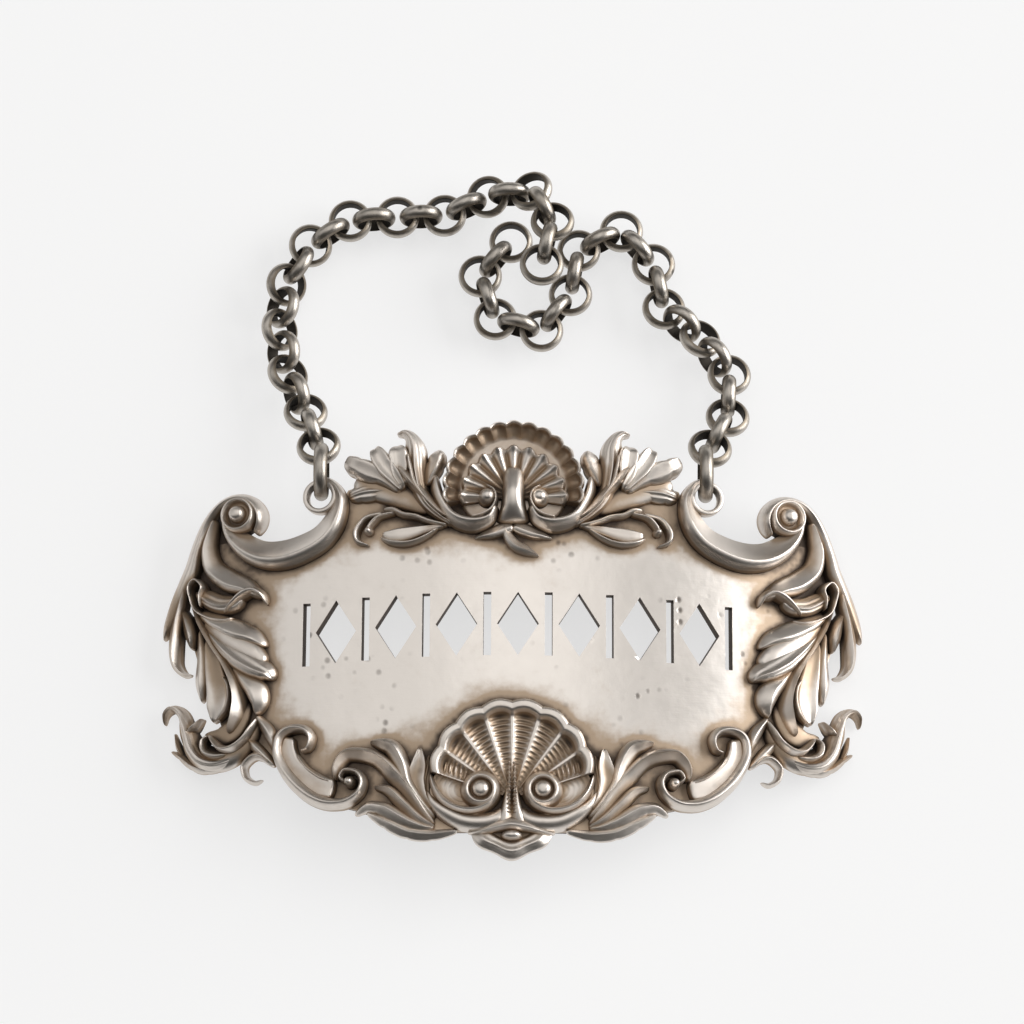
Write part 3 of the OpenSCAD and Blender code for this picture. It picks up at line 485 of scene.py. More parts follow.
def leaf(ridge, left, right=None, lobes=0, bite=0.0, veins=(0, 0.0)):
    """Section of a leaf: from the ridge the height drops to each edge by a share and with a bend, under
    1 for a hollow side and over 1 for a full one. Both sides are alike unless the right one is given.
    The edge is bitten in between its lobes, and veins run along it as a small wave."""
    right = right or left

    def section(s, t):
        y = np.where(t > ridge, (t - ridge) / (1 - ridge), (ridge - t) / (1 + ridge))
        drop = np.where(t > ridge, right[0], left[0])
        bend = np.where(t > ridge, right[1], left[1])
        groove = 0.5 - 0.5 * np.cos(2 * math.pi * veins[0] * y)
        high = 1 - drop * y ** bend - veins[1] * groove * (1 - y ** 4)
        edge = np.sqrt(np.clip(1 - y ** 9, 0, 1))
        notch = 1 - bite * (1 - np.abs(np.sin(math.pi * lobes * s))) ** 2 if lobes else 1 + 0 * s
        return t * notch, high * edge + 0 * s
    return section


def round_bar(power=2, waves=0, depth=0.0):
    """Section of a round bar, fuller with a higher power, with waves along it that cut in by the depth."""
    def section(s, t):
        wave = 1 - depth + depth * np.cos(2 * math.pi * waves * s)
        return t + 0 * s, np.sqrt(np.clip(1 - np.abs(t) ** power, 0, 1)) * wave
    return section


wire = round_bar()
both_sides("side_leaf", [
    swept(OUTER_ROLL, leaf(0.2, (0.6, 1.7), (0.6, 1.6)), 190, 28, (0.03, 0.06)),
    swept(BAND_LOBE, leaf(-0.35, (0.5, 1.6), (0.55, 1)), 110, 30, (0.06, 0.06)),
    swept(PANEL, leaf(-0.2, (0.35, 1.3), (0.4, 0.8), veins=(2, 0.06)), 70, 28, (0.12, 0.15)),
    swept(ROLLED_EDGE, wire, 70, 16, (0.08, 0.1)),
    swept(EYE_RIM, wire, 110, 12, (0.04, 0.05)),
    swept(HOOKED_LOBE, leaf(0.3, (0.6, 0.7), (0.5, 1.4)), 100, 26, (0.08, 0.06)),
    swept(TUCKED_LOBE, leaf(0.1, (0.5, 0.8), (0.5, 1.2)), 50, 22, (0.1, 0.12)),
    swept(UPPER_LOBE, leaf(-0.3, (0.5, 1.8), (0.5, 1.2), 3, 0.06), 80, 30),
    swept(BROAD_LOBE, leaf(-0.3, (0.5, 1.8), (0.5, 1.1), 3, 0.08, (2, 0.05)), 90, 34),
    swept(LEAF_BACK, leaf(0, (0.2, 2)), 70, 24),
    swept(LEAF_WEB, leaf(0, (0.3, 2)), 70, 26),
    swept(NARROW_LOBE, leaf(-0.2, (0.5, 1.8), (0.5, 1.2)), 70, 28, (0.1, 0.12)),
    swept(SLIM_LOBE, leaf(0, (0.5, 1.4)), 70, 24),
    swept(HOLLOW_LOBE, leaf(0, (-0.3, 1.8)), 80, 28),
    swept(HOLLOW_RIM, wire, 60, 12, (0.06, 0.06)),
    swept(SIDE_STEM, leaf(-0.55, (0.4, 1.4), (0.75, 0.8)), 120, 24, (0.05, 0.06))],
    grime_and_shade=(1.8, 0.6, 0.12))

# The curled leaves at the lower corners hook outward under the side leaves, with a thin fringe
# below them, a small curl and a rib to the base scroll. They are cast with the same chasing.
LEAF_BODY = [
    (26.1, -4.7, 1.1, 0.4), (25.7, -6.3, 1.2, 0.75), (24.7, -7.8, 1.2, 0.9), (23, -8.6, 1.2, 0.95),
    (21.3, -8.1, 1.2, 0.8), (20.2, -6.9, 1.1, 0.6), (19.7, -5.9, 0.9, 0.25)]
LEAF_BED = [
    (24.3, -6.6, 0.8, 0.3), (22.9, -6.8, 0.9, 0.8), (21.8, -6.2, 0.9, 0.9), (21, -5, 0.9, 0.7),
    (20.6, -4.2, 0.7, 0.3)]
STEM_CURL = [
    (19.7, -5.6, 1.3, 0.2), (20.1, -6.4, 1.8, 0.32), (20.7, -7.3, 2, 0.36), (21.6, -7.9, 2.1, 0.38),
    (22.4, -7.9, 2.1, 0.36), (23, -7.4, 2, 0.28), (23.6, -6.7, 1.5, 0.14)]
CURL_FOOT = [
    (23.7, -6.7, 1.4, 0.2), (24.1, -7.2, 1.7, 0.32), (23.9, -8, 1.8, 0.4), (23.1, -8.4, 1.7, 0.4),
    (22, -8.3, 1.3, 0.3)]
CURLED_LEAF = [
    (21.6, -8.6, 1.2, 0.3), (23, -9, 1.6, 0.5), (24.2, -8.7, 1.8, 0.7), (25, -7.8, 1.9, 0.76),
    (25.4, -6.7, 1.9, 0.7), (25.7, -5.7, 1.9, 0.55), (26.1, -4.8, 1.8, 0.42), (26.9, -4.3, 1.6, 0.32),
    (27.6, -4.7, 1.3, 0.22), (27.8, -5.5, 0.8, 0.1)]
LEAFLET = [(25.5, -6.6, 1.5, 0.2), (24.9, -6, 1.8, 0.32), (24.3, -5.3, 1.3, 0.1)]
FRINGE_LEAF = [
    (22, -9, 0.9, 0.3), (23.9, -9.3, 1.1, 0.38), (25.2, -8.9, 1.1, 0.4), (26.3, -8.1, 1, 0.3),
    (27.2, -7.6, 0.7, 0.1)]
FRINGE_TIP = [(26.1, -8.1, 0.9, 0.2), (26.5, -7.3, 1, 0.26), (26.9, -6.2, 0.7, 0.08)]
SMALL_CURL = [
    (18.7, -9.2, 0.9, 0.15), (19.2, -8.7, 1.3, 0.3), (19.8, -8.5, 1.4, 0.36), (20.4, -8.8, 1.4, 0.34),
    (20.8, -9.4, 1.4, 0.3), (20.6, -10.2, 1.3, 0.26), (19.9, -10.6, 1.2, 0.2), (19.3, -10.4, 0.8, 0.08)]
INNER_RIB = [(19.8, -5.4, 1.2, 0.25), (19, -6.4, 1.4, 0.5), (18.5, -7.3, 1.4, 0.5), (18.3, -8.2, 1.1, 0.25)]
UNDER_RIB = [(20.6, -7.1, 1.1, 0.35), (19.8, -7.9, 1.2, 0.45), (19, -8.7, 1.1, 0.4), (18.3, -9.4, 0.8, 0.2)]
both_sides("lower_leaf", [
    swept(LEAF_BODY, leaf(0.1, (0.6, 2)), 100, 28, (0.08, 0.08)),
    swept(LEAF_BED, leaf(0, (0.2, 2)), 60, 24, (0.12, 0.12)),
    swept(STEM_CURL, leaf(0.1, (0.6, 1.6)), 90, 20, (0.05, 0.06)),
    swept(CURL_FOOT, leaf(0, (0.6, 1.6)), 60, 20, (0.08, 0.1)),
    swept(CURLED_LEAF, leaf(-0.25, (0.6, 0.75), (0.5, 1.3), veins=(2, 0.06)), 140, 30, (0.06, 0.05)),
    swept(LEAFLET, leaf(0, (0.5, 1.2)), 40, 20, (0.1, 0.12)),
    swept(FRINGE_LEAF, leaf(0, (0.5, 0.8), (0.5, 1.3), 4, 0.15), 70, 22, (0.1, 0.08)),
    swept(FRINGE_TIP, leaf(0, (0.5, 0.8), (0.5, 1.3)), 40, 18),
    swept(SMALL_CURL, leaf(0.1, (0.6, 1.5)), 90, 20, (0.06, 0.06)),
    swept(INNER_RIB, leaf(0.1, (0.5, 1.3)), 60, 22, (0.1, 0.12)),
    swept(UNDER_RIB, leaf(0.1, (0.5, 1.3)), 60, 22, (0.1, 0.12))],
    grime_and_shade=(1.8, 0.6, 0.2))

# The frilled cuff behind the palmette is a shallow bowl whose edge is pleated into scallops. It is
# raised from thin sheet, and its pleats keep the dark polish that cloths don't reach, with painted
# shade under the rim darkening them further.
CUFF_AT = (0, 11.9)
CUFF_ARC = (-14, 194)
CUFF_R = (2.2, 5.25)
CUFF_FLUTES = 15
FLOOR_AT = (0, 11)
FLOOR_R = (4, 2.3)


def fan(at, arc, radius, rays, rings, shape):
    """A shell about a drawn point, over an arc in degrees and from one radius to the next. The shape
    gives, for the turn and the way out from 0 to 1, the share of that radius and the height, and the
    edges drop straight to the plate."""
    a = np.linspace(0, 1, rays)[:, None]
    f = np.linspace(0, 1, rings)[None, :]
    share, w = shape(a, f)
    share = np.hstack([share[:, :1], share, share[:, -1:]])
    w = np.hstack([SEAT + 0 * w[:, :1], w, SEAT + 0 * w[:, :1]])
    angle = np.radians(arc[0] + (arc[1] - arc[0]) * a)
    r = radius[0] + (radius[1] - radius[0]) * share
    points = bowed(at[0] + r * np.cos(angle), at[1] + r * np.sin(angle), w)
    ends = [np.mean(points[k], axis=0)[None] for k in (0, -1)]
    return np.vstack([ends[0], points.reshape(-1, 3), ends[1]]), tube_faces(rays, rings + 2)


def cuff(a, f):
    """The cuff: a flat floor, then a wall that climbs outwards in hollow flutes between sharp ridges to
    a thin raised rim, and falls away behind it."""
    wave = np.abs(np.sin(math.pi * CUFF_FLUTES * a))
    climb = eased(f, 0.6, 0.95)
    back = np.clip((f - 0.97) / 0.03, 0, 1)
    bead = np.exp(-((f - 0.93) / 0.045) ** 4)
    w = 0.95 + 1.05 * climb - 0.45 * wave * climb * (1 - 0.7 * bead) + 0.3 * bead
    return f * (0.97 + 0.1 * wave * climb ** 2), w - 0.6 * back ** 2


cuff_piece = soldered("crest_fan", *joined([
    fan(CUFF_AT, CUFF_ARC, CUFF_R, 520, 60, cuff),
    dome(*FLOOR_AT, [1, 0.97, 0.9, 0.5, 0], [0, 0.3, 0.42, 0.46, 0.46], 64, FLOOR_R)]), cast_silver)

# The palmette is a folded fan of thin ribs inside the cuff, gathered at the bottom by a polished
# collar that widens to both its ends.
PALMETTE_AT = (0, 11.2)
PALMETTE_ARC = (-8, 188)
PALMETTE_R = (0.6, 3.95)
PALMETTE_FOLDS = 11
COLLAR = [
    (0, 9.1, 1.5, 1.5), (0, 9.8, 2.1, 1.25), (0, 10.6, 2.5, 1), (0, 11.5, 2.6, 0.92), (0, 12.4, 2.3, 0.95),
    (0, 13.2, 1.9, 1), (0, 14, 1.4, 1)]


def palmette(a, f):
    """The fan's folds: sharp ridges with hollow sides, which open and deepen towards a lip whose edge
    rises at each fold."""
    ridge = np.abs(np.cos(math.pi * PALMETTE_FOLDS * (a - 0.5)))
    w = 1.45 + 0.75 * f ** 1.5 - 0.65 * f * (1 - ridge ** 1.5) + 0.12 * np.exp(-((f - 0.92) / 0.06) ** 2)
    w = w - 0.5 * np.clip((f - 0.95) / 0.05, 0, 1)
    return f * (1 + 0.06 * ridge), w


soldered("crest_shell", *joined([
    fan(PALMETTE_AT, PALMETTE_ARC, PALMETTE_R, 420, 30, palmette),
    swept(COLLAR, round_bar(2.5), 60, 40, (0.1, 0.15))]), cast_silver, grime_and_shade=(2.3, 0.5, 0.05))

# The sprays beside the crest are acanthus again: a polished arm that curls round a ball, a tall leaf
# with a rolled tip, notched lobes on both its sides, a drop-shaped leaf and a tendril. They are cast.
CREST_BALL = (1.95, 11.2, 0.8, 2)
CREST_ARM = [
    (1.2, 10.5, 2.2, 0.25), (1.7, 9.4, 2.3, 0.42), (2.8, 9, 2.3, 0.55), (4, 9.2, 2.2, 0.55),
    (4.9, 9.8, 2.1, 0.52), (5.5, 10.7, 2, 0.52), (5.9, 11.7, 1.9, 0.52), (6, 12.6, 1.7, 0.38),
    (5.9, 13.2, 1.3, 0.12)]
CREST_CURL = [
    (2.1, 12.1, 2, 0.12), (1.5, 11.7, 2.2, 0.16), (1.3, 11, 2.3, 0.18), (1.6, 10.2, 2.4, 0.2),
    (2.3, 9.7, 2.4, 0.18), (3.2, 9.5, 2.3, 0.12)]
CREST_LEAF = [
    (4.5, 9.1, 1.6, 0.25), (5.6, 9.8, 1.8, 0.4), (6.6, 10.8, 1.9, 0.55), (7.1, 11.9, 2, 0.72),
    (7.4, 13.3, 2, 0.85), (7.5, 14.4, 2, 0.9), (7.6, 15.4, 1.9, 0.82), (7.9, 16.2, 1.8, 0.55),
    (8.4, 16.6, 1.7, 0.35), (9, 16.5, 1.3, 0.15)]
CREST_RIB = [
    (6.1, 10.5, 2, 0.15), (6.9, 11.5, 2.2, 0.2), (7.5, 12.5, 2.3, 0.22), (7.8, 13.7, 2.3, 0.22),
    (8, 14.8, 2.1, 0.12)]
CREST_INNER = [
    (6.7, 12.2, 1.5, 0.4), (6.4, 13.1, 1.7, 0.65), (6, 14, 1.8, 0.8), (5.8, 14.7, 1.7, 0.65),
    (5.8, 15.2, 1.3, 0.35)]
CREST_SHOULDER = [
    (8.2, 12.2, 1.6, 0.4), (8.6, 13.2, 1.7, 0.7), (8.7, 14.2, 1.8, 0.85), (8.8, 15, 1.8, 0.75),
    (8.9, 15.6, 1.4, 0.45)]
CREST_FORK = [
    (4.9, 9.6, 1.8, 0.25), (5.9, 10.4, 2.1, 0.45), (7.1, 11.8, 2.2, 0.55), (8, 12.9, 2.3, 0.62),
    (8.5, 13.5, 2.2, 0.5), (8.8, 13.9, 1.6, 0.2)]
CREST_LOBES = [
    ([(8.3, 11.9, 1.5, 0.3), (9.1, 13, 1.7, 0.65), (9.9, 14, 1.75, 0.8),
      (10.4, 14.9, 1.7, 0.66), (10.7, 15.4, 1.4, 0.4)],
     leaf(0, (-0.3, 1.7), (-0.3, 1.7), 2, 0.1)),
    ([(8.6, 11.7, 1.3, 0.3), (9.8, 12.8, 1.5, 0.7), (11.2, 13.5, 1.6, 0.95),
      (12.3, 14.1, 1.6, 0.8), (13, 14.6, 1.3, 0.45)],
     leaf(0.3, (-0.3, 1.5), (0.5, 1.4), 3, 0.12)),
    ([(8.7, 11.6, 1, 0.3), (9.9, 12, 1.1, 0.7), (11.2, 12, 1.2, 0.85),
      (12.2, 11.8, 1.1, 0.7), (12.8, 11.6, 0.8, 0.35)],
     leaf(0, (0.4, 1), (0.4, 1), 3, 0.12, (2, 0.08)))]
CREST_WEB = [
    (6.3, 10.2, 1.1, 0.4), (8, 11.3, 1.1, 1), (9.6, 12.2, 1.1, 1.3), (11.2, 12.6, 1.05, 1.1),
    (12.4, 12.4, 0.9, 0.4)]
CREST_DROP = [
    (5.1, 9.1, 1.1, 0.12), (6.7, 8.8, 1.1, 0.35), (8.1, 8.5, 1.1, 0.58), (9.1, 8.4, 1.1, 0.56),
    (10.1, 8.5, 1, 0.18)]
CREST_DROP_RIM = [
    (5.7, 8.9, 1.2, 0.1), (6.7, 8.2, 1.5, 0.18), (7.6, 7.8, 1.6, 0.2), (8.5, 7.7, 1.6, 0.24),
    (9.5, 7.9, 1.5, 0.22), (10.2, 8.3, 1.1, 0.1)]
CREST_TENDRIL = [
    (5, 9.1, 1.3, 0.2), (6.4, 9.4, 1.6, 0.24), (7.4, 9.8, 1.7, 0.25), (8.4, 10, 1.7, 0.25),
    (9.2, 10.4, 1.7, 0.26), (9.9, 10.4, 1.4, 0.2)]
CREST_HOOK = [(9, 10.2, 1.3, 0.2), (10.2, 9.9, 1.6, 0.22), (10.8, 9.4, 1.6, 0.24), (11.1, 8.9, 1.6, 0.2)]
LOOP_BALL = (11.1, 8.8, 0.36, 1.2)
CREST_LOOP = [
    (10, 10.2, 1.2, 0.2), (11.2, 9.9, 1.4, 0.24), (11.8, 9.3, 1.5, 0.28), (12.1, 8.6, 1.5, 0.3),
    (11.9, 8, 1.4, 0.22), (11.1, 7.7, 1, 0.08)]
both_sides("crest_spray", [
    swept(CREST_ARM, leaf(-0.45, (0.3, 2), (0.65, 1.7)), 120, 28, (0.05, 0.08)),
    swept(CREST_CURL, wire, 70, 14, (0.06, 0.06)), button(*CREST_BALL),
    swept(CREST_LEAF, leaf(0, (0.55, 0.8), (0.5, 0.8), veins=(2, 0.08)), 130, 32, (0.05, 0.05)),
    swept(CREST_RIB, wire, 60, 14, (0.08, 0.1)),
    swept(CREST_INNER, leaf(-0.3, (0.4, 1.6), (0.5, 0.8), 2, 0.15), 60, 24, (0.1, 0.2)),
    swept(CREST_SHOULDER, leaf(0.1, (-0.3, 1.7), (-0.25, 1.7), 2, 0.15), 60, 24, (0.1, 0.2)),
    swept(CREST_FORK, leaf(0.2, (0.55, 1.2), (0.65, 0.8)), 70, 26, (0.08, 0.06))]
    + [swept(rail, section, 70, 28, (0.1, 0.12)) for rail, section in CREST_LOBES]
    + [swept(CREST_WEB, leaf(0, (0.3, 2)), 70, 24),
       swept(CREST_DROP, leaf(0, (-0.1, 1.5), (0.2, 1.5)), 60, 24),
       swept(CREST_DROP_RIM, wire, 70, 14, (0.08, 0.08)), swept(CREST_TENDRIL, wire, 80, 14, (0.05, 0.06)),
       swept(CREST_HOOK, wire, 50, 14, (0.08, 0.08)), swept(CREST_LOOP, wire, 80, 14, (0.05, 0.05)),
       button(*LOOP_BALL, 24, 8)],
    grime_and_shade=(1.9, 0.6, 0.1))

# The husk under the collar is a trefoil: two small side leaves and a middle one that curls away. It is
# one small casting, and lies where a cloth rubs it bright all over.
HUSK_MIDDLE = [
    (-0.6, 9.1, 1.3, 0.3), (-0.35, 8.2, 1.45, 0.42), (0.2, 7.5, 1.5, 0.48), (1, 7.1, 1.5, 0.42),
    (2, 6.7, 1, 0.1)]
HUSK_SIDE = [
    (0, 9.1, 1.3, 0.45), (0.8, 8.8, 1.35, 0.55), (1.6, 8.5, 1.3, 0.48), (2.3, 8.3, 1.15, 0.3),
    (3, 8.1, 0.8, 0.08)]
husk_side = swept(HUSK_SIDE, leaf(0.3, (0.4, 1), (0.15, 1.2)), 60, 22)
husk_middle = swept(HUSK_MIDDLE, leaf(0.2, (0.5, 0.9), (0.2, 1.3)), 60, 24)
soldered("husk", *joined([husk_middle, husk_side, mirrored(husk_side)]), cast_silver, grime_and_shade=(9, 1, -0.35))

# The scallop shell at the bottom has smooth ribs, hollow flutes crossed by fine ridges and a bright
# scalloped rim that stands up round it. Dark polish stays in the flutes.
SHELL_AT = (0, -12.4)
SHELL_ARC = (18, 162)
SHELL_R = (0.7, 7.65)
SHELL_FLUTES = 8
CROSS_RIDGES = 17


def scallop(a, f):
    """The shell: hollow flutes between narrow smooth ribs, with short cross ridges in the flutes, and a
    broad rounded rim that follows the scalloped edge."""
    wave = np.abs(np.sin(math.pi * SHELL_FLUTES * a))
    flute = np.clip((wave - 0.18) / 0.82, 0, 1) ** 0.8 * f ** 0.6
    cross = (0.5 + 0.5 * np.cos(2 * math.pi * f * CROSS_RIDGES)) * np.clip((0.84 - f) / 0.1, 0, 1)
    w = 1.25 + 0.5 * f - 0.55 * flute + 0.2 * cross * flute
    rim = np.exp(-((f - 0.905) / 0.075) ** 4)
    w = w * (1 - rim) + rim * (2.3 - 0.12 * (1 - wave)) - 1.0 * np.clip((f - 0.93) / 0.07, 0, 1) ** 1.6
    side = 1 - 0.17 * np.abs(2 * a - 1) ** 2
    return side * f * (1 + 0.05 * wave * f ** 3), w


soldered("base_shell", *joined([fan(SHELL_AT, SHELL_ARC, SHELL_R, 560, 130, scallop)]), cast_silver,
         grime_and_shade=(2.1, 0.5, 0.1))

# Two volutes hold the shell from below. Each is an arm that winds round a ball, over a rippled bowl,
# with a stem and a double row of beads between the two. They are cast with the shell's lowest lobes.
BEADS = 13
LOBE_RIBS = 9
SNAIL_AT = (2.3, -11.75)
BOWL_AT = (3.6, -11.7)
BOWL_R = 2.5
BASE_ARM = [
    (1.2, -11.2, 1.7, 0.2), (1.2, -12, 2, 0.3), (1.6, -12.8, 2, 0.34), (2.4, -13.25, 2, 0.36),
    (3.3, -13.35, 2, 0.36), (4.3, -13.1, 2, 0.36), (5.2, -12.5, 2, 0.36), (5.8, -11.6, 1.9, 0.32),
    (6.1, -10.5, 1.7, 0.2)]
BASE_BODY = [
    (0.5, -13.2, 1.2, 0.5), (1.1, -13.9, 1.4, 0.7), (2.2, -14.2, 1.5, 0.75), (3.6, -14.1, 1.5, 0.75),
    (4.9, -13.5, 1.5, 0.7), (5.9, -12.7, 1.4, 0.5), (6.4, -11.7, 1.2, 0.2)]
BEAD_STRIP = [
    (0.2, -9.4, 1.5, 0.14), (0.2, -11, 1.8, 0.2), (0.22, -12.4, 1.8, 0.24), (0.25, -13.7, 1.5, 0.24)]
BASE_STEM = [
    (0.2, -11.4, 1.4, 0.3), (0.2, -12.4, 1.5, 0.45), (0.2, -13.4, 1.5, 0.7), (0.2, -14.4, 1.3, 1.1)]
SIDE_LOBE = [(2.8, -10.4, 1.3, 0.3), (3.8, -10.3, 1.35, 0.65), (5, -10.1, 1.4, 0.8), (5.9, -9.9, 1.3, 0.3)]


def ribbed(s, t):
    """Section of the shell's lowest lobes: fine ribs across a low round."""
    ribs = 0.88 + 0.12 * np.cos(2 * math.pi * LOBE_RIBS * s)
    return t + 0 * s, (1 - 0.35 * t ** 2) * np.sqrt(np.clip(1 - t ** 8, 0, 1)) * ribs


SNAIL = [
    (1.62, 0), (1.58, 0.5), (1.42, 1), (1.2, 1.4), (1.02, 1.58), (0.88, 1.42), (0.78, 1.08), (0.7, 1.02),
    (0.64, 1.25), (0.56, 1.5), (0.36, 1.74), (0, 1.82)]
bowl_r = np.linspace(BOWL_R, 0, 60)
bowl = 0.5 + 0.045 * bowl_r ** 2 + 0.018 * np.cos(2 * math.pi * bowl_r / 0.4)
both_sides("base_volute", [
    swept(BASE_ARM, leaf(-0.2, (0.6, 1.2), (0.6, 1.8)), 150, 26, (0.04, 0.06)),
    spun(*SNAIL_AT, SNAIL),
    swept(BASE_BODY, leaf(-0.1, (0.6, 2)), 90, 26, (0.06, 0.06)),
    swept(BASE_STEM, leaf(-0.4, (0.3, 1.6), (0.85, 1.3)), 60, 24),
    swept(BEAD_STRIP, round_bar(2, BEADS, 0.13), 110, 18, (0.04, 0.06)),
    swept(SIDE_LOBE, ribbed, 120, 26, (0.08, 0.08)),
    dome(*BOWL_AT, bowl_r, bowl, 64, (1, 0.85))], grime_and_shade=(1.3, 0.3, -0.35))

# The base scrolls run from an open outer volute to an inner one round a ball, with a hollow floor
# between the bar and a thin ridge. They are cast, and soldered over the plate's lower corners.
SCROLL_BALL = (12.2, -11, 0.48, 1.7)
BASE_SCROLL = [
    (16.1, -8.4, 1.5, 0.15), (15.5, -8.2, 1.7, 0.22), (15.3, -7.4, 1.8, 0.3), (15.7, -6.8, 1.9, 0.36),
    (16.5, -6.6, 1.9, 0.4), (17.3, -6.8, 1.9, 0.42), (17.8, -7.4, 1.9, 0.45), (17.9, -8.5, 1.9, 0.5),
    (17.4, -9.7, 1.9, 0.55), (16.6, -10.8, 1.9, 0.6), (15.5, -11.8, 1.9, 0.6), (14.4, -12.4, 1.9, 0.55),
    (13.4, -12.6, 1.9, 0.48), (12.4, -12.5, 2, 0.42), (11.5, -11.9, 2, 0.36), (11.2, -11, 2, 0.32),
    (11.6, -10.3, 2, 0.28), (12.5, -10.1, 1.9, 0.24), (12.9, -10.6, 1.8, 0.2), (12.5, -11, 1.7, 0.2)]
SCROLL_FLOOR = [
    (17, -7.2, 1.3, 0.4), (17.1, -8.3, 1.3, 0.65), (16.7, -9.5, 1.3, 0.8), (15.7, -10.5, 1.3, 0.9),
    (14.5, -11.2, 1.3, 0.9), (13.4, -11.5, 1.3, 0.8)]
SCROLL_RIDGE = [
    (16.4, -8.6, 1.3, 0.1), (15.6, -9.7, 1.7, 0.16), (14.6, -10.5, 1.7, 0.16), (13.7, -10.9, 1.4, 0.1)]
both_sides("base_scroll", [
    swept(BASE_SCROLL, leaf(0, (0.55, 1.8)), 230, 26, (0.02, 0.02)),
    swept(SCROLL_FLOOR, leaf(0, (-0.1, 1.5)), 90, 26, (0.08, 0.08)),
    swept(SCROLL_RIDGE, wire, 60, 14), button(*SCROLL_BALL)], grime_and_shade=(1.7, 0.5, 0.15))

# The sprays between scroll and shell are leaves that spring from under the volute's arm. Most are
# folded along a ridge, one is hollow, and the innermost and the lowest have notched edges.
SPRAYS = [
    ([(13.2, -10.8, 1.4, 0.32), (13.2, -9.8, 1.7, 0.49), (12.5, -8.9, 1.8, 0.56), (11.2, -8.9, 1.8, 0.61),
      (10, -9.4, 1.7, 0.64), (8.8, -10.6, 1.6, 0.72), (7.7, -11.9, 1.6, 0.67), (6.7, -13.4, 1.4, 0.54),
      (5.8, -14.3, 1, 0.22)], leaf(0.4, (0.6, 0.75), (0.5, 1.5))),
    ([(10.8, -7.9, 1.2, 0.17), (9.9, -8.1, 1.8, 0.51), (9, -8.5, 1.9, 0.7), (8.3, -9.8, 1.8, 0.7),
      (7.9, -11.2, 1.7, 0.64), (7, -12.6, 1.5, 0.58), (5.8, -13.9, 1.2, 0.32)],
     leaf(0.3, (0.5, 0.8), (0.5, 1.5))),
    ([(6.9, -8.4, 1.1, 0.13), (7, -9.7, 1.15, 0.64), (7.2, -11, 1.2, 0.77), (6.8, -12.3, 1.2, 0.58),
      (6, -13.3, 1.1, 0.22)], leaf(0, (-0.4, 1.6))),
    ([(6.2, -8.9, 1, 0.13), (6.3, -9.9, 1.2, 0.46), (6.5, -11.2, 1.2, 0.54), (6.2, -12.5, 1.2, 0.46),
      (5.6, -13.6, 1, 0.22)], leaf(0, (0.4, 1.2), (0.4, 1.2), 5, 0.12, (2, 0.08))),
    ([(10.4, -11.4, 1.2, 0.17), (9.3, -11.7, 1.5, 0.46), (8.2, -12.8, 1.4, 0.58), (7, -13.9, 1.3, 0.51),
      (5.8, -14.5, 0.9, 0.22)], leaf(0.3, (0.6, 0.8), (0.5, 1.4))),
    ([(11.9, -13.5, 0.9, 0.17), (10.9, -12.9, 1.3, 0.46), (9.7, -13.1, 1.4, 0.64), (8.3, -13.9, 1.3, 0.64),
      (6.9, -14.5, 1.1, 0.45), (5.8, -14.6, 0.8, 0.17)], leaf(0.2, (0.6, 0.8), (0.5, 1.3), 3, 0.1)),
    ([(11, -13.3, 0.8, 0.17), (9.5, -14.1, 1, 0.51), (7.8, -14.9, 1, 0.54), (6, -15.1, 0.9, 0.46),
      (4.1, -14.8, 0.8, 0.22)], leaf(0.1, (0.6, 0.8), (0.5, 1.3), 4, 0.12))]
both_sides("base_spray", [swept(rail, section, 100, 28, (0.07, 0.07)) for rail, section in SPRAYS],
           grime_and_shade=(1.8, 0.6, 0.1))

# The lip at the very bottom is a small scalloped flounce, with a bracket across its top and a boss on
# it. It is cast, and soldered on last.
LIP_AT = (0, -13.7)
LIP_ARC = (203, 337)
LIP_R = (1.4, 3.4)
LIP_BOSS = (0, -15.2, 0.5, 1.15)
LIP_BRACKET = [
    (-3.3, -15, 0.9, 0.1), (-2.3, -14.8, 1.2, 0.35), (-1.1, -14.45, 1.5, 0.55), (0, -14.25, 1.65, 0.65),
    (1.1, -14.45, 1.5, 0.55), (2.3, -14.8, 1.2, 0.35), (3.3, -15, 0.9, 0.1)]


def lip(a, f):
    """The lip's flounce: from a slit it swells and falls again in three soft scallops, with
    low ledges along them."""
    wave = np.cos(2 * math.pi * (a - 0.5) / 0.38)
    swell = np.sin(math.pi * np.clip((f - 0.25) / 0.75, 0, 1)) ** 0.7 * (1 - np.abs(2 * a - 1) ** 5)
    edge = 0.93 + 0.07 * wave + 0.06 * np.abs(2 * a - 1) ** 4
    return f * edge, 0.6 + (0.5 + 0.08 * wave + 0.06 * np.cos(2 * math.pi * 3 * f)) * swell


soldered("base_lip", *joined([
    fan(LIP_AT, LIP_ARC, LIP_R, 220, 30, lip),
    swept(LIP_BRACKET, leaf(0.35, (0.6, 1.5), (0.5, 1.2)), 90, 28, (0.04, 0.04)),
    button(*LIP_BOSS, 40, 12, (1.7, 0.9))]), cast_silver)

# Tarnish and old polish stay in the hollows of the label, where no cloth reaches, and the high parts
# are rubbed bright, and painted shade darkens the creases, the depths of the relief, the piercings' walls
# and the bowed ends. Each piece carries both as one value at its points.
CELL = 0.15
MAP_U = 32
MAP_V = 20
TABLE_LEVEL = -0.6
SHADED_ENDS_FROM = 22
SHADED_ENDS_SPAN = 5
FRET_HALF = (19, 4)


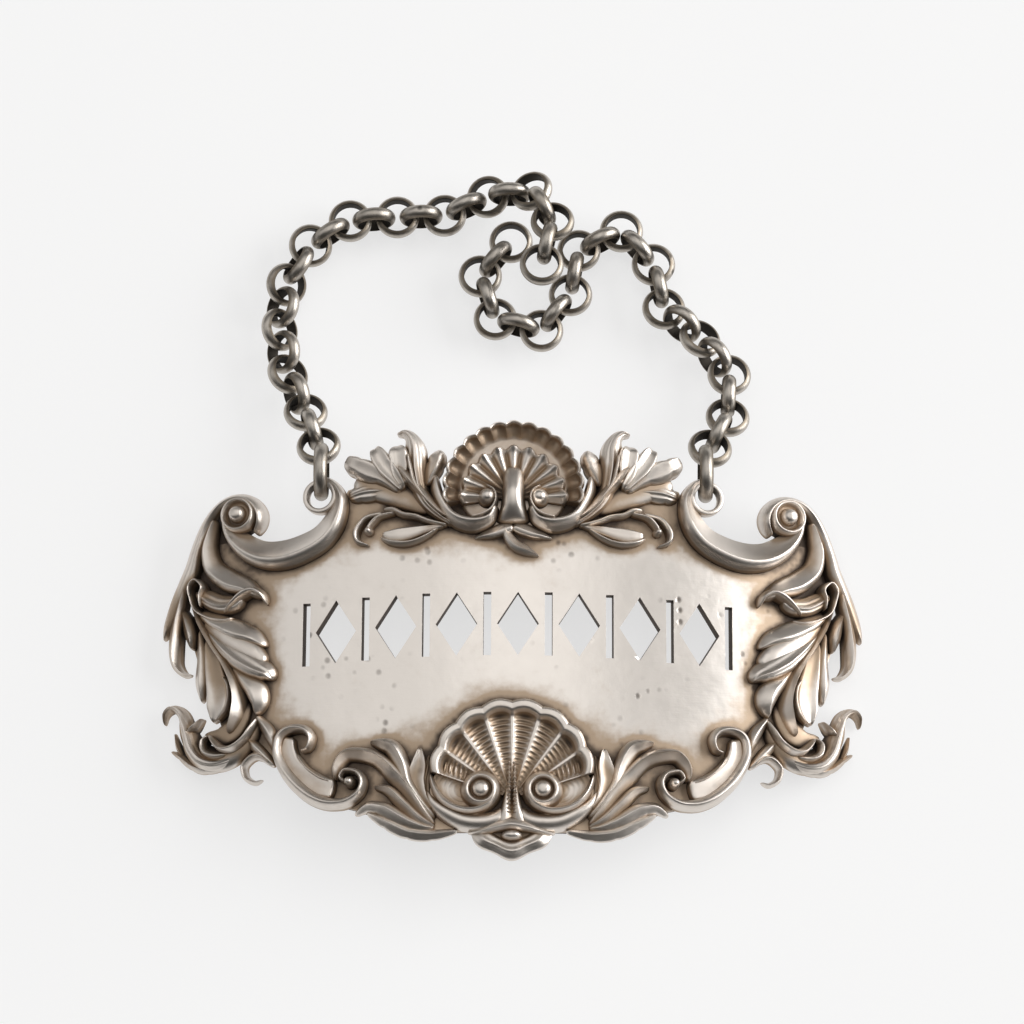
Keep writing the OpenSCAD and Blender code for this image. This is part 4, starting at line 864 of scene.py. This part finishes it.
def box_blur(field, cells):
    """The mean over a square of cells about each cell, from running sums along both axes, three times."""
    for axis in (0, 1, 0, 1, 0, 1):
        padded = np.pad(field, [(cells + 1, cells) if k == axis else (0, 0) for k in (0, 1)], mode="edge")
        total = np.cumsum(padded, axis=axis)
        n = field.shape[axis]
        high, low = np.arange(2 * cells + 1, 2 * cells + 1 + n), np.arange(n)
        field = (np.take(total, high, axis) - np.take(total, low, axis)) / (2 * cells + 1)
    return field


def unbowed(mesh):
    """The flat drawing's across, up and height of a mesh's points."""
    p = np.empty(len(mesh.vertices) * 3)
    mesh.vertices.foreach_get("co", p)
    x, y, z = p.reshape(-1, 3).T / MM
    z = z - RISE + BOW
    return np.arctan2(x, z) * BOW, y, np.hypot(x, z) - BOW


flats = [unbowed(piece.data) for piece, _ in label_pieces]
cells_u, cells_v = int(2 * MAP_U / CELL), int(2 * MAP_V / CELL)
centre_u = (np.arange(cells_u) + 0.5) * CELL - MAP_U
centre_v = (np.arange(cells_v) + 0.5) * CELL - MAP_V
cell_places = np.stack(np.meshgrid(centre_u, centre_v, indexing="ij"), -1).reshape(-1, 2)
level = np.where(inside(cell_places, rings[0]), FRONT, TABLE_LEVEL).reshape(cells_u, cells_v)
for u, v, w in flats:
    np.maximum.at(level, (((u + MAP_U) / CELL).astype(int), ((v + MAP_V) / CELL).astype(int)), w)
near_level, far_level, wide_level = (box_blur(level, cells) for cells in (2, 7, 12))


def sampled(field, u, v):
    """The field at drawn places, blended between the four cells round each."""
    x, y = (u + MAP_U) / CELL - 0.5, (v + MAP_V) / CELL - 0.5
    i, j = x.astype(int), y.astype(int)
    a, b = x - i, y - j
    return ((field[i, j] * (1 - a) + field[i + 1, j] * a) * (1 - b)
            + (field[i, j + 1] * (1 - a) + field[i + 1, j + 1] * a) * b)


for (piece, (darkened_below, span, grime_and_shade)), (u, v, w) in zip(label_pieces, flats):
    # Points lower than the relief around them darken: tarnish in the hollows and painted shade in creases and
    # under rolled lobes.
    sunk = 0.5 * np.clip((sampled(near_level, u, v) - w) / 0.45, -0.5, 1)
    if piece == plate:
        # On the plate a broad band beside the raised border darkens: tarnish near the border and painted
        # shade beside the relief.
        sunk = sunk + 0.65 * np.clip(1.2 * (sampled(wide_level, u, v) - w) - 0.15, 0, 1)
    else:
        sunk = sunk + 0.5 * np.clip((sampled(far_level, u, v) - w) / 0.9, -0.4, 1)
    # Painted shade: both bowed ends of the label darken with their distance from the middle, whatever their
    # height.
    sunk = sunk + 0.5 * np.clip((np.abs(u) - SHADED_ENDS_FROM) / SHADED_ENDS_SPAN, 0, 1)
    # Low parts of each piece darken below a height: tarnish and painted shade in the depths of the relief.
    sunk = sunk + grime_and_shade * np.clip((darkened_below - w) / span, 0, 1)
    if piece == plate:
        in_fret = (np.abs(u) < FRET_HALF[0]) & (np.abs(v - FRET_AT[1]) < FRET_HALF[1])
        # Painted shade: the walls of the piercings are dark all through, and the outer edge's wall a little.
        sunk[2 * face_points:] = np.where(in_fret, 1, 0.3)[2 * face_points:]
    elif piece == cuff_piece:
        # On the cuff the flutes darken below the rim and the floor is lighter: dark polish in the pleats,
        # with painted shade under the rim.
        sunk = 0.5 * np.clip((2.05 - w) / 0.35, 0, 1) - 0.3 * np.clip((1.35 - w) / 0.35, 0, 1)
    hollow = piece.data.attributes.new("hollow", "FLOAT", "POINT")
    hollow.data.foreach_set("value", np.clip(sunk, 0, 1))

# The chain is a belcher: round links of half-round wire, flat inside and domed outside, each bent
# through the one before and soldered shut. It is oxidised dark, and only the domes are rubbed.
LINK_OD = 3.5
RING_OD = 4.6
WIRE_W = 1.1
WIRE_T = 0.45
DOME_SHARE = 0.93
DOME_POINTS = 15
FLAT_SHARE = 0.9
FLAT_POINTS = 7
PITCH = 1.9
RUN_LINKS = 25
LEFT_SINGLES = 19
RIGHT_SINGLES = 10
TAIL_LINKS = 3
KNOT_LINKS = 4
LEFT_TILT = (45, 1, 7, 13)
RIGHT_TILT = (30, 4, 7, 10)
LIE_GAP = 0.05
LIE = LINK_OD / 2 + LIE_GAP
DRAWN_TOP = 5.5
LEFT_DROP = [(-15.3, 16.1, 4.6), (-16.3, 19, 2.9), (-17.8, 22.2, 1.9)]
LEFT_LIE = [
    (-18.6, 25.2), (-18.7, 28.2), (-18, 31), (-16.4, 33.6), (-14, 35.4), (-11, 36.2), (-8, 35.9), (-5, 36.4),
    (-2.4, 37.6, 0.4), (0.2, 38, 1.4), (2.5, 36.8, 2.6), (3, 34.2, 3.5), (2.4, 31.8, 3.7), (1.8, 29.4, 3.6),
    (1.4, 27, 3.6)]
RIGHT_DROP = [(15.4, 16.1, 4.6), (16.8, 18.8, 2.8), (17.3, 21.4, 1.9)]
RIGHT_LIE = [
    (16.8, 23.8), (15, 25.8), (13.2, 27.2), (11.6, 29), (11.3, 31.2), (10.7, 33.4), (8.8, 34.9), (6.5, 34.7),
    (5, 33), (4.6, 30.6), (4.2, 28.3), (2.6, 26.7), (0.3, 26.5), (-1.7, 27.7), (-2.7, 29.8), (-2.5, 32),
    (-0.9, 33.8), (1.4, 34), (3, 33)]


def chain_route(side, drop, lie):
    """Points of a run: the ring's middle, with its wire through the eyelet, then the drop, whose heights
    are drawn for a ring at DRAWN_TOP, then the lie, with a third value where a link lies on others."""
    x, y, z = bowed(side * EYE[0], *EYE[1:]) / MM
    down = [(across, up, LIE + (z - LIE) * (h - LIE) / (DRAWN_TOP - LIE)) for across, up, h in drop]
    flat = [(across, up, LIE + sum(over)) for across, up, *over in lie]
    return [(x, y + (RING_OD - WIRE_T) / 2, z)] + down + flat


def link_places(route, links):
    """Middles of the ring and the links: chords of two pitches are stepped off along the route, a flat
    link goes on each, and an upright one half way between each two."""
    fine = curve(route, np.arange(12 * (len(route) - 1)) / 12)
    steps, k, step = [np.array(route[0])], 1, PITCH + (RING_OD - LINK_OD) / 2
    for _ in range(links // 2 + 1):
        away = np.linalg.norm(fine - steps[-1], axis=1)
        reached = np.nonzero(away[k:] >= step)[0]
        k = k + reached[0] if len(reached) else len(fine) - 1
        steps.append(fine[k - 1] + (fine[k] - fine[k - 1]) * (step - away[k - 1]) / (away[k] - away[k - 1]))
        step = 2 * PITCH
    s = np.array(steps)
    return np.array([s[0]] + [s[(i + 1) // 2] if i % 2 else (s[i // 2] + s[i // 2 + 1]) / 2
                              for i in range(1, links + 1)])


def wire_section():
    """Half-round wire: an outer arc and a flat inner face, both stopped short of the two edges so that
    these are blunt. The second value is 1 on the inner face and falls to 0 on top of the dome."""
    radius = (WIRE_W ** 2 / 4 + WIRE_T ** 2) / (2 * WIRE_T)
    reach = math.asin(WIRE_W / 2 / radius)
    a = np.linspace(-DOME_SHARE, DOME_SHARE, DOME_POINTS) * reach
    arc = np.stack([radius * np.cos(a) - radius, radius * np.sin(a)], 1)
    across = np.linspace(FLAT_SHARE, -FLAT_SHARE, FLAT_POINTS) * WIRE_W / 2
    inner = np.stack([np.full(FLAT_POINTS, -WIRE_T), across], 1)
    dark = np.concatenate([np.abs(a / reach) ** 3 * 0.6, np.full(FLAT_POINTS, 1.0)])
    return np.vstack([arc, inner]), dark


wire_loop, wire_dark = wire_section()
chain_silver = silver("chain_silver", 0.00003, Bright=(0.52, 0.48, 0.43, 1), Warm=(0.22, 0.185, 0.145, 1),
                      Dark=(0.05, 0.044, 0.038, 1), Polish=0.3, Pits=0.5, Clouds=0.5, Amount=0.1)


def link(places, i, roll, around=72):
    """One ring of wire at its place: its plane holds the run's direction and is rolled about it."""
    run = np.array([0, 1.0, 0]) if i == 0 else places[min(i + 1, len(places) - 1)] - places[i - 1]
    run = run / np.linalg.norm(run)
    level_side = np.cross([0, 0, 1], run)
    level_side /= np.linalg.norm(level_side)
    axis = level_side * math.cos(roll) + np.cross(run, level_side) * math.sin(roll)
    other = np.cross(axis, run)
    turn = np.linspace(0, 2 * math.pi, around, endpoint=False)[:, None, None]
    r = (RING_OD if i == 0 else LINK_OD) / 2 + wire_loop[None, :, 0:1]
    points = places[i] + r * np.cos(turn) * run + r * np.sin(turn) * other + wire_loop[None, :, 1:2] * axis
    return points.reshape(-1, 3) * MM, ring_faces(around, len(wire_loop))


def hung(node, links):
    """The links of one node as a mesh that rides on the node's own body."""
    points, faces = joined(links)
    made = carried(node, node, "wire", points, faces, chain_silver, 40)
    dark = made.data.attributes.new("hollow", "FLOAT", "POINT")
    dark.data.foreach_set("value", np.tile(wire_dark, len(points) // len(wire_dark)))


def run_of(side, route, tilt, singles, group, size):
    """One run of the chain: the ring, single links, and groups of so many links to its end. Every other
    link is upright. The tilt rolls them all about the run: by its degrees at a middle link, and by less
    towards its first and last one."""
    degrees, first, middle, last = tilt
    places = link_places(route, RUN_LINKS)
    made_links = []
    for i in range(RUN_LINKS + 1):
        roll = degrees * (eased(i, first, middle) - eased(i, middle, last))
        made_links.append(link(places, i, math.radians(90 * (i % 2) + roll)))
    hung(side + "_ring", made_links[:1])
    for i in range(1, singles + 1):
        hung(f"{side}_link_{i:02d}", [made_links[i]])
    for k, start in enumerate(range(singles + 1, RUN_LINKS + 1, size), 1):
        hung(f"{group}_{k}", made_links[start:start + size])


run_of("left", chain_route(-1, LEFT_DROP, LEFT_LIE), LEFT_TILT, LEFT_SINGLES, "tail", TAIL_LINKS)
run_of("right", chain_route(1, RIGHT_DROP, RIGHT_LIE), RIGHT_TILT, RIGHT_SINGLES, "knot", KNOT_LINKS)

# The table is plain white paper. To the camera, and in what the silver mirrors, it glows by itself, as an
# overexposed background does.
TABLE_HALF = 1.5
PAPER_GLOW = 0.68
table_mesh = bpy.data.meshes.new("table")
table_corners = [(x * TABLE_HALF, y * TABLE_HALF, 0) for x, y in ((-1, -1), (1, -1), (1, 1), (-1, 1))]
table_mesh.from_pydata(table_corners, [], [(0, 1, 2, 3)])
paper = bpy.data.materials.new("paper")
paper.use_nodes = True
paper_tree = paper.node_tree
table_place = add(paper_tree, "TexCoord", {})["Object"]
grain = add(paper_tree, "TexNoise", {"Scale": 30, "Vector": table_place})["Fac"]
whites = {"Factor": grain, "A": (0.95, 0.95, 0.95, 1), "B": (0.97, 0.97, 0.965, 1)}
paper_white = add(paper_tree, "Mix", whites, data_type="RGBA")["Result"]
paper_shade = paper_tree.nodes["Principled BSDF"]
paper_shade.inputs["Roughness"].default_value = 0.9
paper_shade.inputs["Specular IOR Level"].default_value = 0.1
paper_tree.links.new(paper_white, paper_shade.inputs["Base Color"])
rays = add(paper_tree, "LightPath", {})
share = 0.0
for ray in ("Is Camera Ray", "Is Glossy Ray", "Is Transmission Ray"):
    share = arithmetic(paper_tree, "ADD", share, arithmetic(paper_tree, "MULTIPLY", rays[ray], PAPER_GLOW))
shine = add(paper_tree, "Emission", {"Strength": 1.0})["Emission"]
lit = add(paper_tree, "MixShader", {"Fac": share, 1: paper_shade.outputs["BSDF"], 2: shine})["Shader"]
paper_tree.links.new(lit, paper_tree.nodes["Material Output"].inputs["Surface"])
table_mesh.materials.append(paper)
table = bpy.data.objects.new("table", table_mesh)
bpy.context.scene.collection.objects.link(table)

# The light is a white tent, bright overhead and dimmer in front, with four dark struts that the silver
# mirrors as bands. A large lamp stands to the right of the label and a weak one to the left.
LAMP_AIM = Vector((0, 0.01, 0))
STRUTS = ((21, 0.14, 0.75), (-15.5, 0.11, 0.7), (35, 0.14, 0.5), (-33, 0.1, 0.3))
tent = bpy.data.worlds.new("tent")
bpy.context.scene.world = tent
tent.use_nodes = True
sky = tent.node_tree
view = add(sky, "TexCoord", {})["Generated"]


def facing(direction):
    """The cosine of the angle between the view direction and a given one."""
    return add(sky, "VectorMath", {0: view, 1: direction}, operation="DOT_PRODUCT")["Value"]


def toward(direction, start, stop):
    """How far the view direction turns to a given one: a smooth step of the cosine between them."""
    return ramp(sky, facing(Vector(direction).normalized()), start, stop)


def strut(lean, width):
    """A dark upright strip of the tent, lean degrees to the right of overhead: a smooth step of the sine
    of the angle from its plane."""
    sine = facing((math.cos(math.radians(lean)), 0, -math.sin(math.radians(lean))))
    return ramp(sky, arithmetic(sky, "ABSOLUTE", sine, 0.0), width, width * 0.2)


glow = arithmetic(sky, "ADD", 0.13, arithmetic(sky, "MULTIPLY", toward((-0.02, 0.27, 1), 0.6, 0.99), 1.14))
front = arithmetic(sky, "MULTIPLY", toward((0, -1, 0.45), 0.4, 0.95), 0.15)
glow = arithmetic(sky, "SUBTRACT", glow, front)
for lean, width, depth in STRUTS:
    glow = arithmetic(sky, "SUBTRACT", glow, arithmetic(sky, "MULTIPLY", strut(lean, width), depth))
sky_light = sky.nodes["Background"].inputs
sky_light["Color"].default_value = (1.0, 0.99, 0.975, 1)
sky.links.new(arithmetic(sky, "MAXIMUM", glow, 0.02), sky_light["Strength"])

for name, place, size, power in (("key", (0.95, 0.2, 0.36), 0.9, 14.0), ("fill", (-0.7, 0.1, 0.4), 0.6, 0.6)):
    lamp = bpy.data.lights.new(name, "AREA")
    lamp.energy = power
    lamp.size = size
    held = bpy.data.objects.new(name, lamp)
    held.location = place
    held.rotation_euler = (LAMP_AIM - Vector(place)).to_track_quat("-Z", "Y").to_euler()
    bpy.context.scene.collection.objects.link(held)

# The camera stands nearly over the label, leaning back a little, as for a catalogue picture. Its angle of
# view takes in the label and the chain with a margin.
TARGET = Vector((-0.0001, 0.01025, 0.0067))
LEAN = math.radians(15)
ROLL = math.radians(0.3)
AWAY = 0.3
SEEN_HALF = 0.0397
lens = bpy.data.cameras.new("camera")
lens.angle = 2 * math.atan(SEEN_HALF / AWAY)
lens.clip_start = 0.01
camera = bpy.data.objects.new("camera", lens)
camera.matrix_world = (Matrix.Translation(TARGET + AWAY * Vector((0, -math.sin(LEAN), math.cos(LEAN))))
                       @ Matrix.Rotation(LEAN, 4, "X") @ Matrix.Rotation(ROLL, 4, "Z"))
bpy.context.scene.collection.objects.link(camera)
bpy.context.scene.camera = camera
bpy.context.scene.view_settings.view_transform = "Standard"
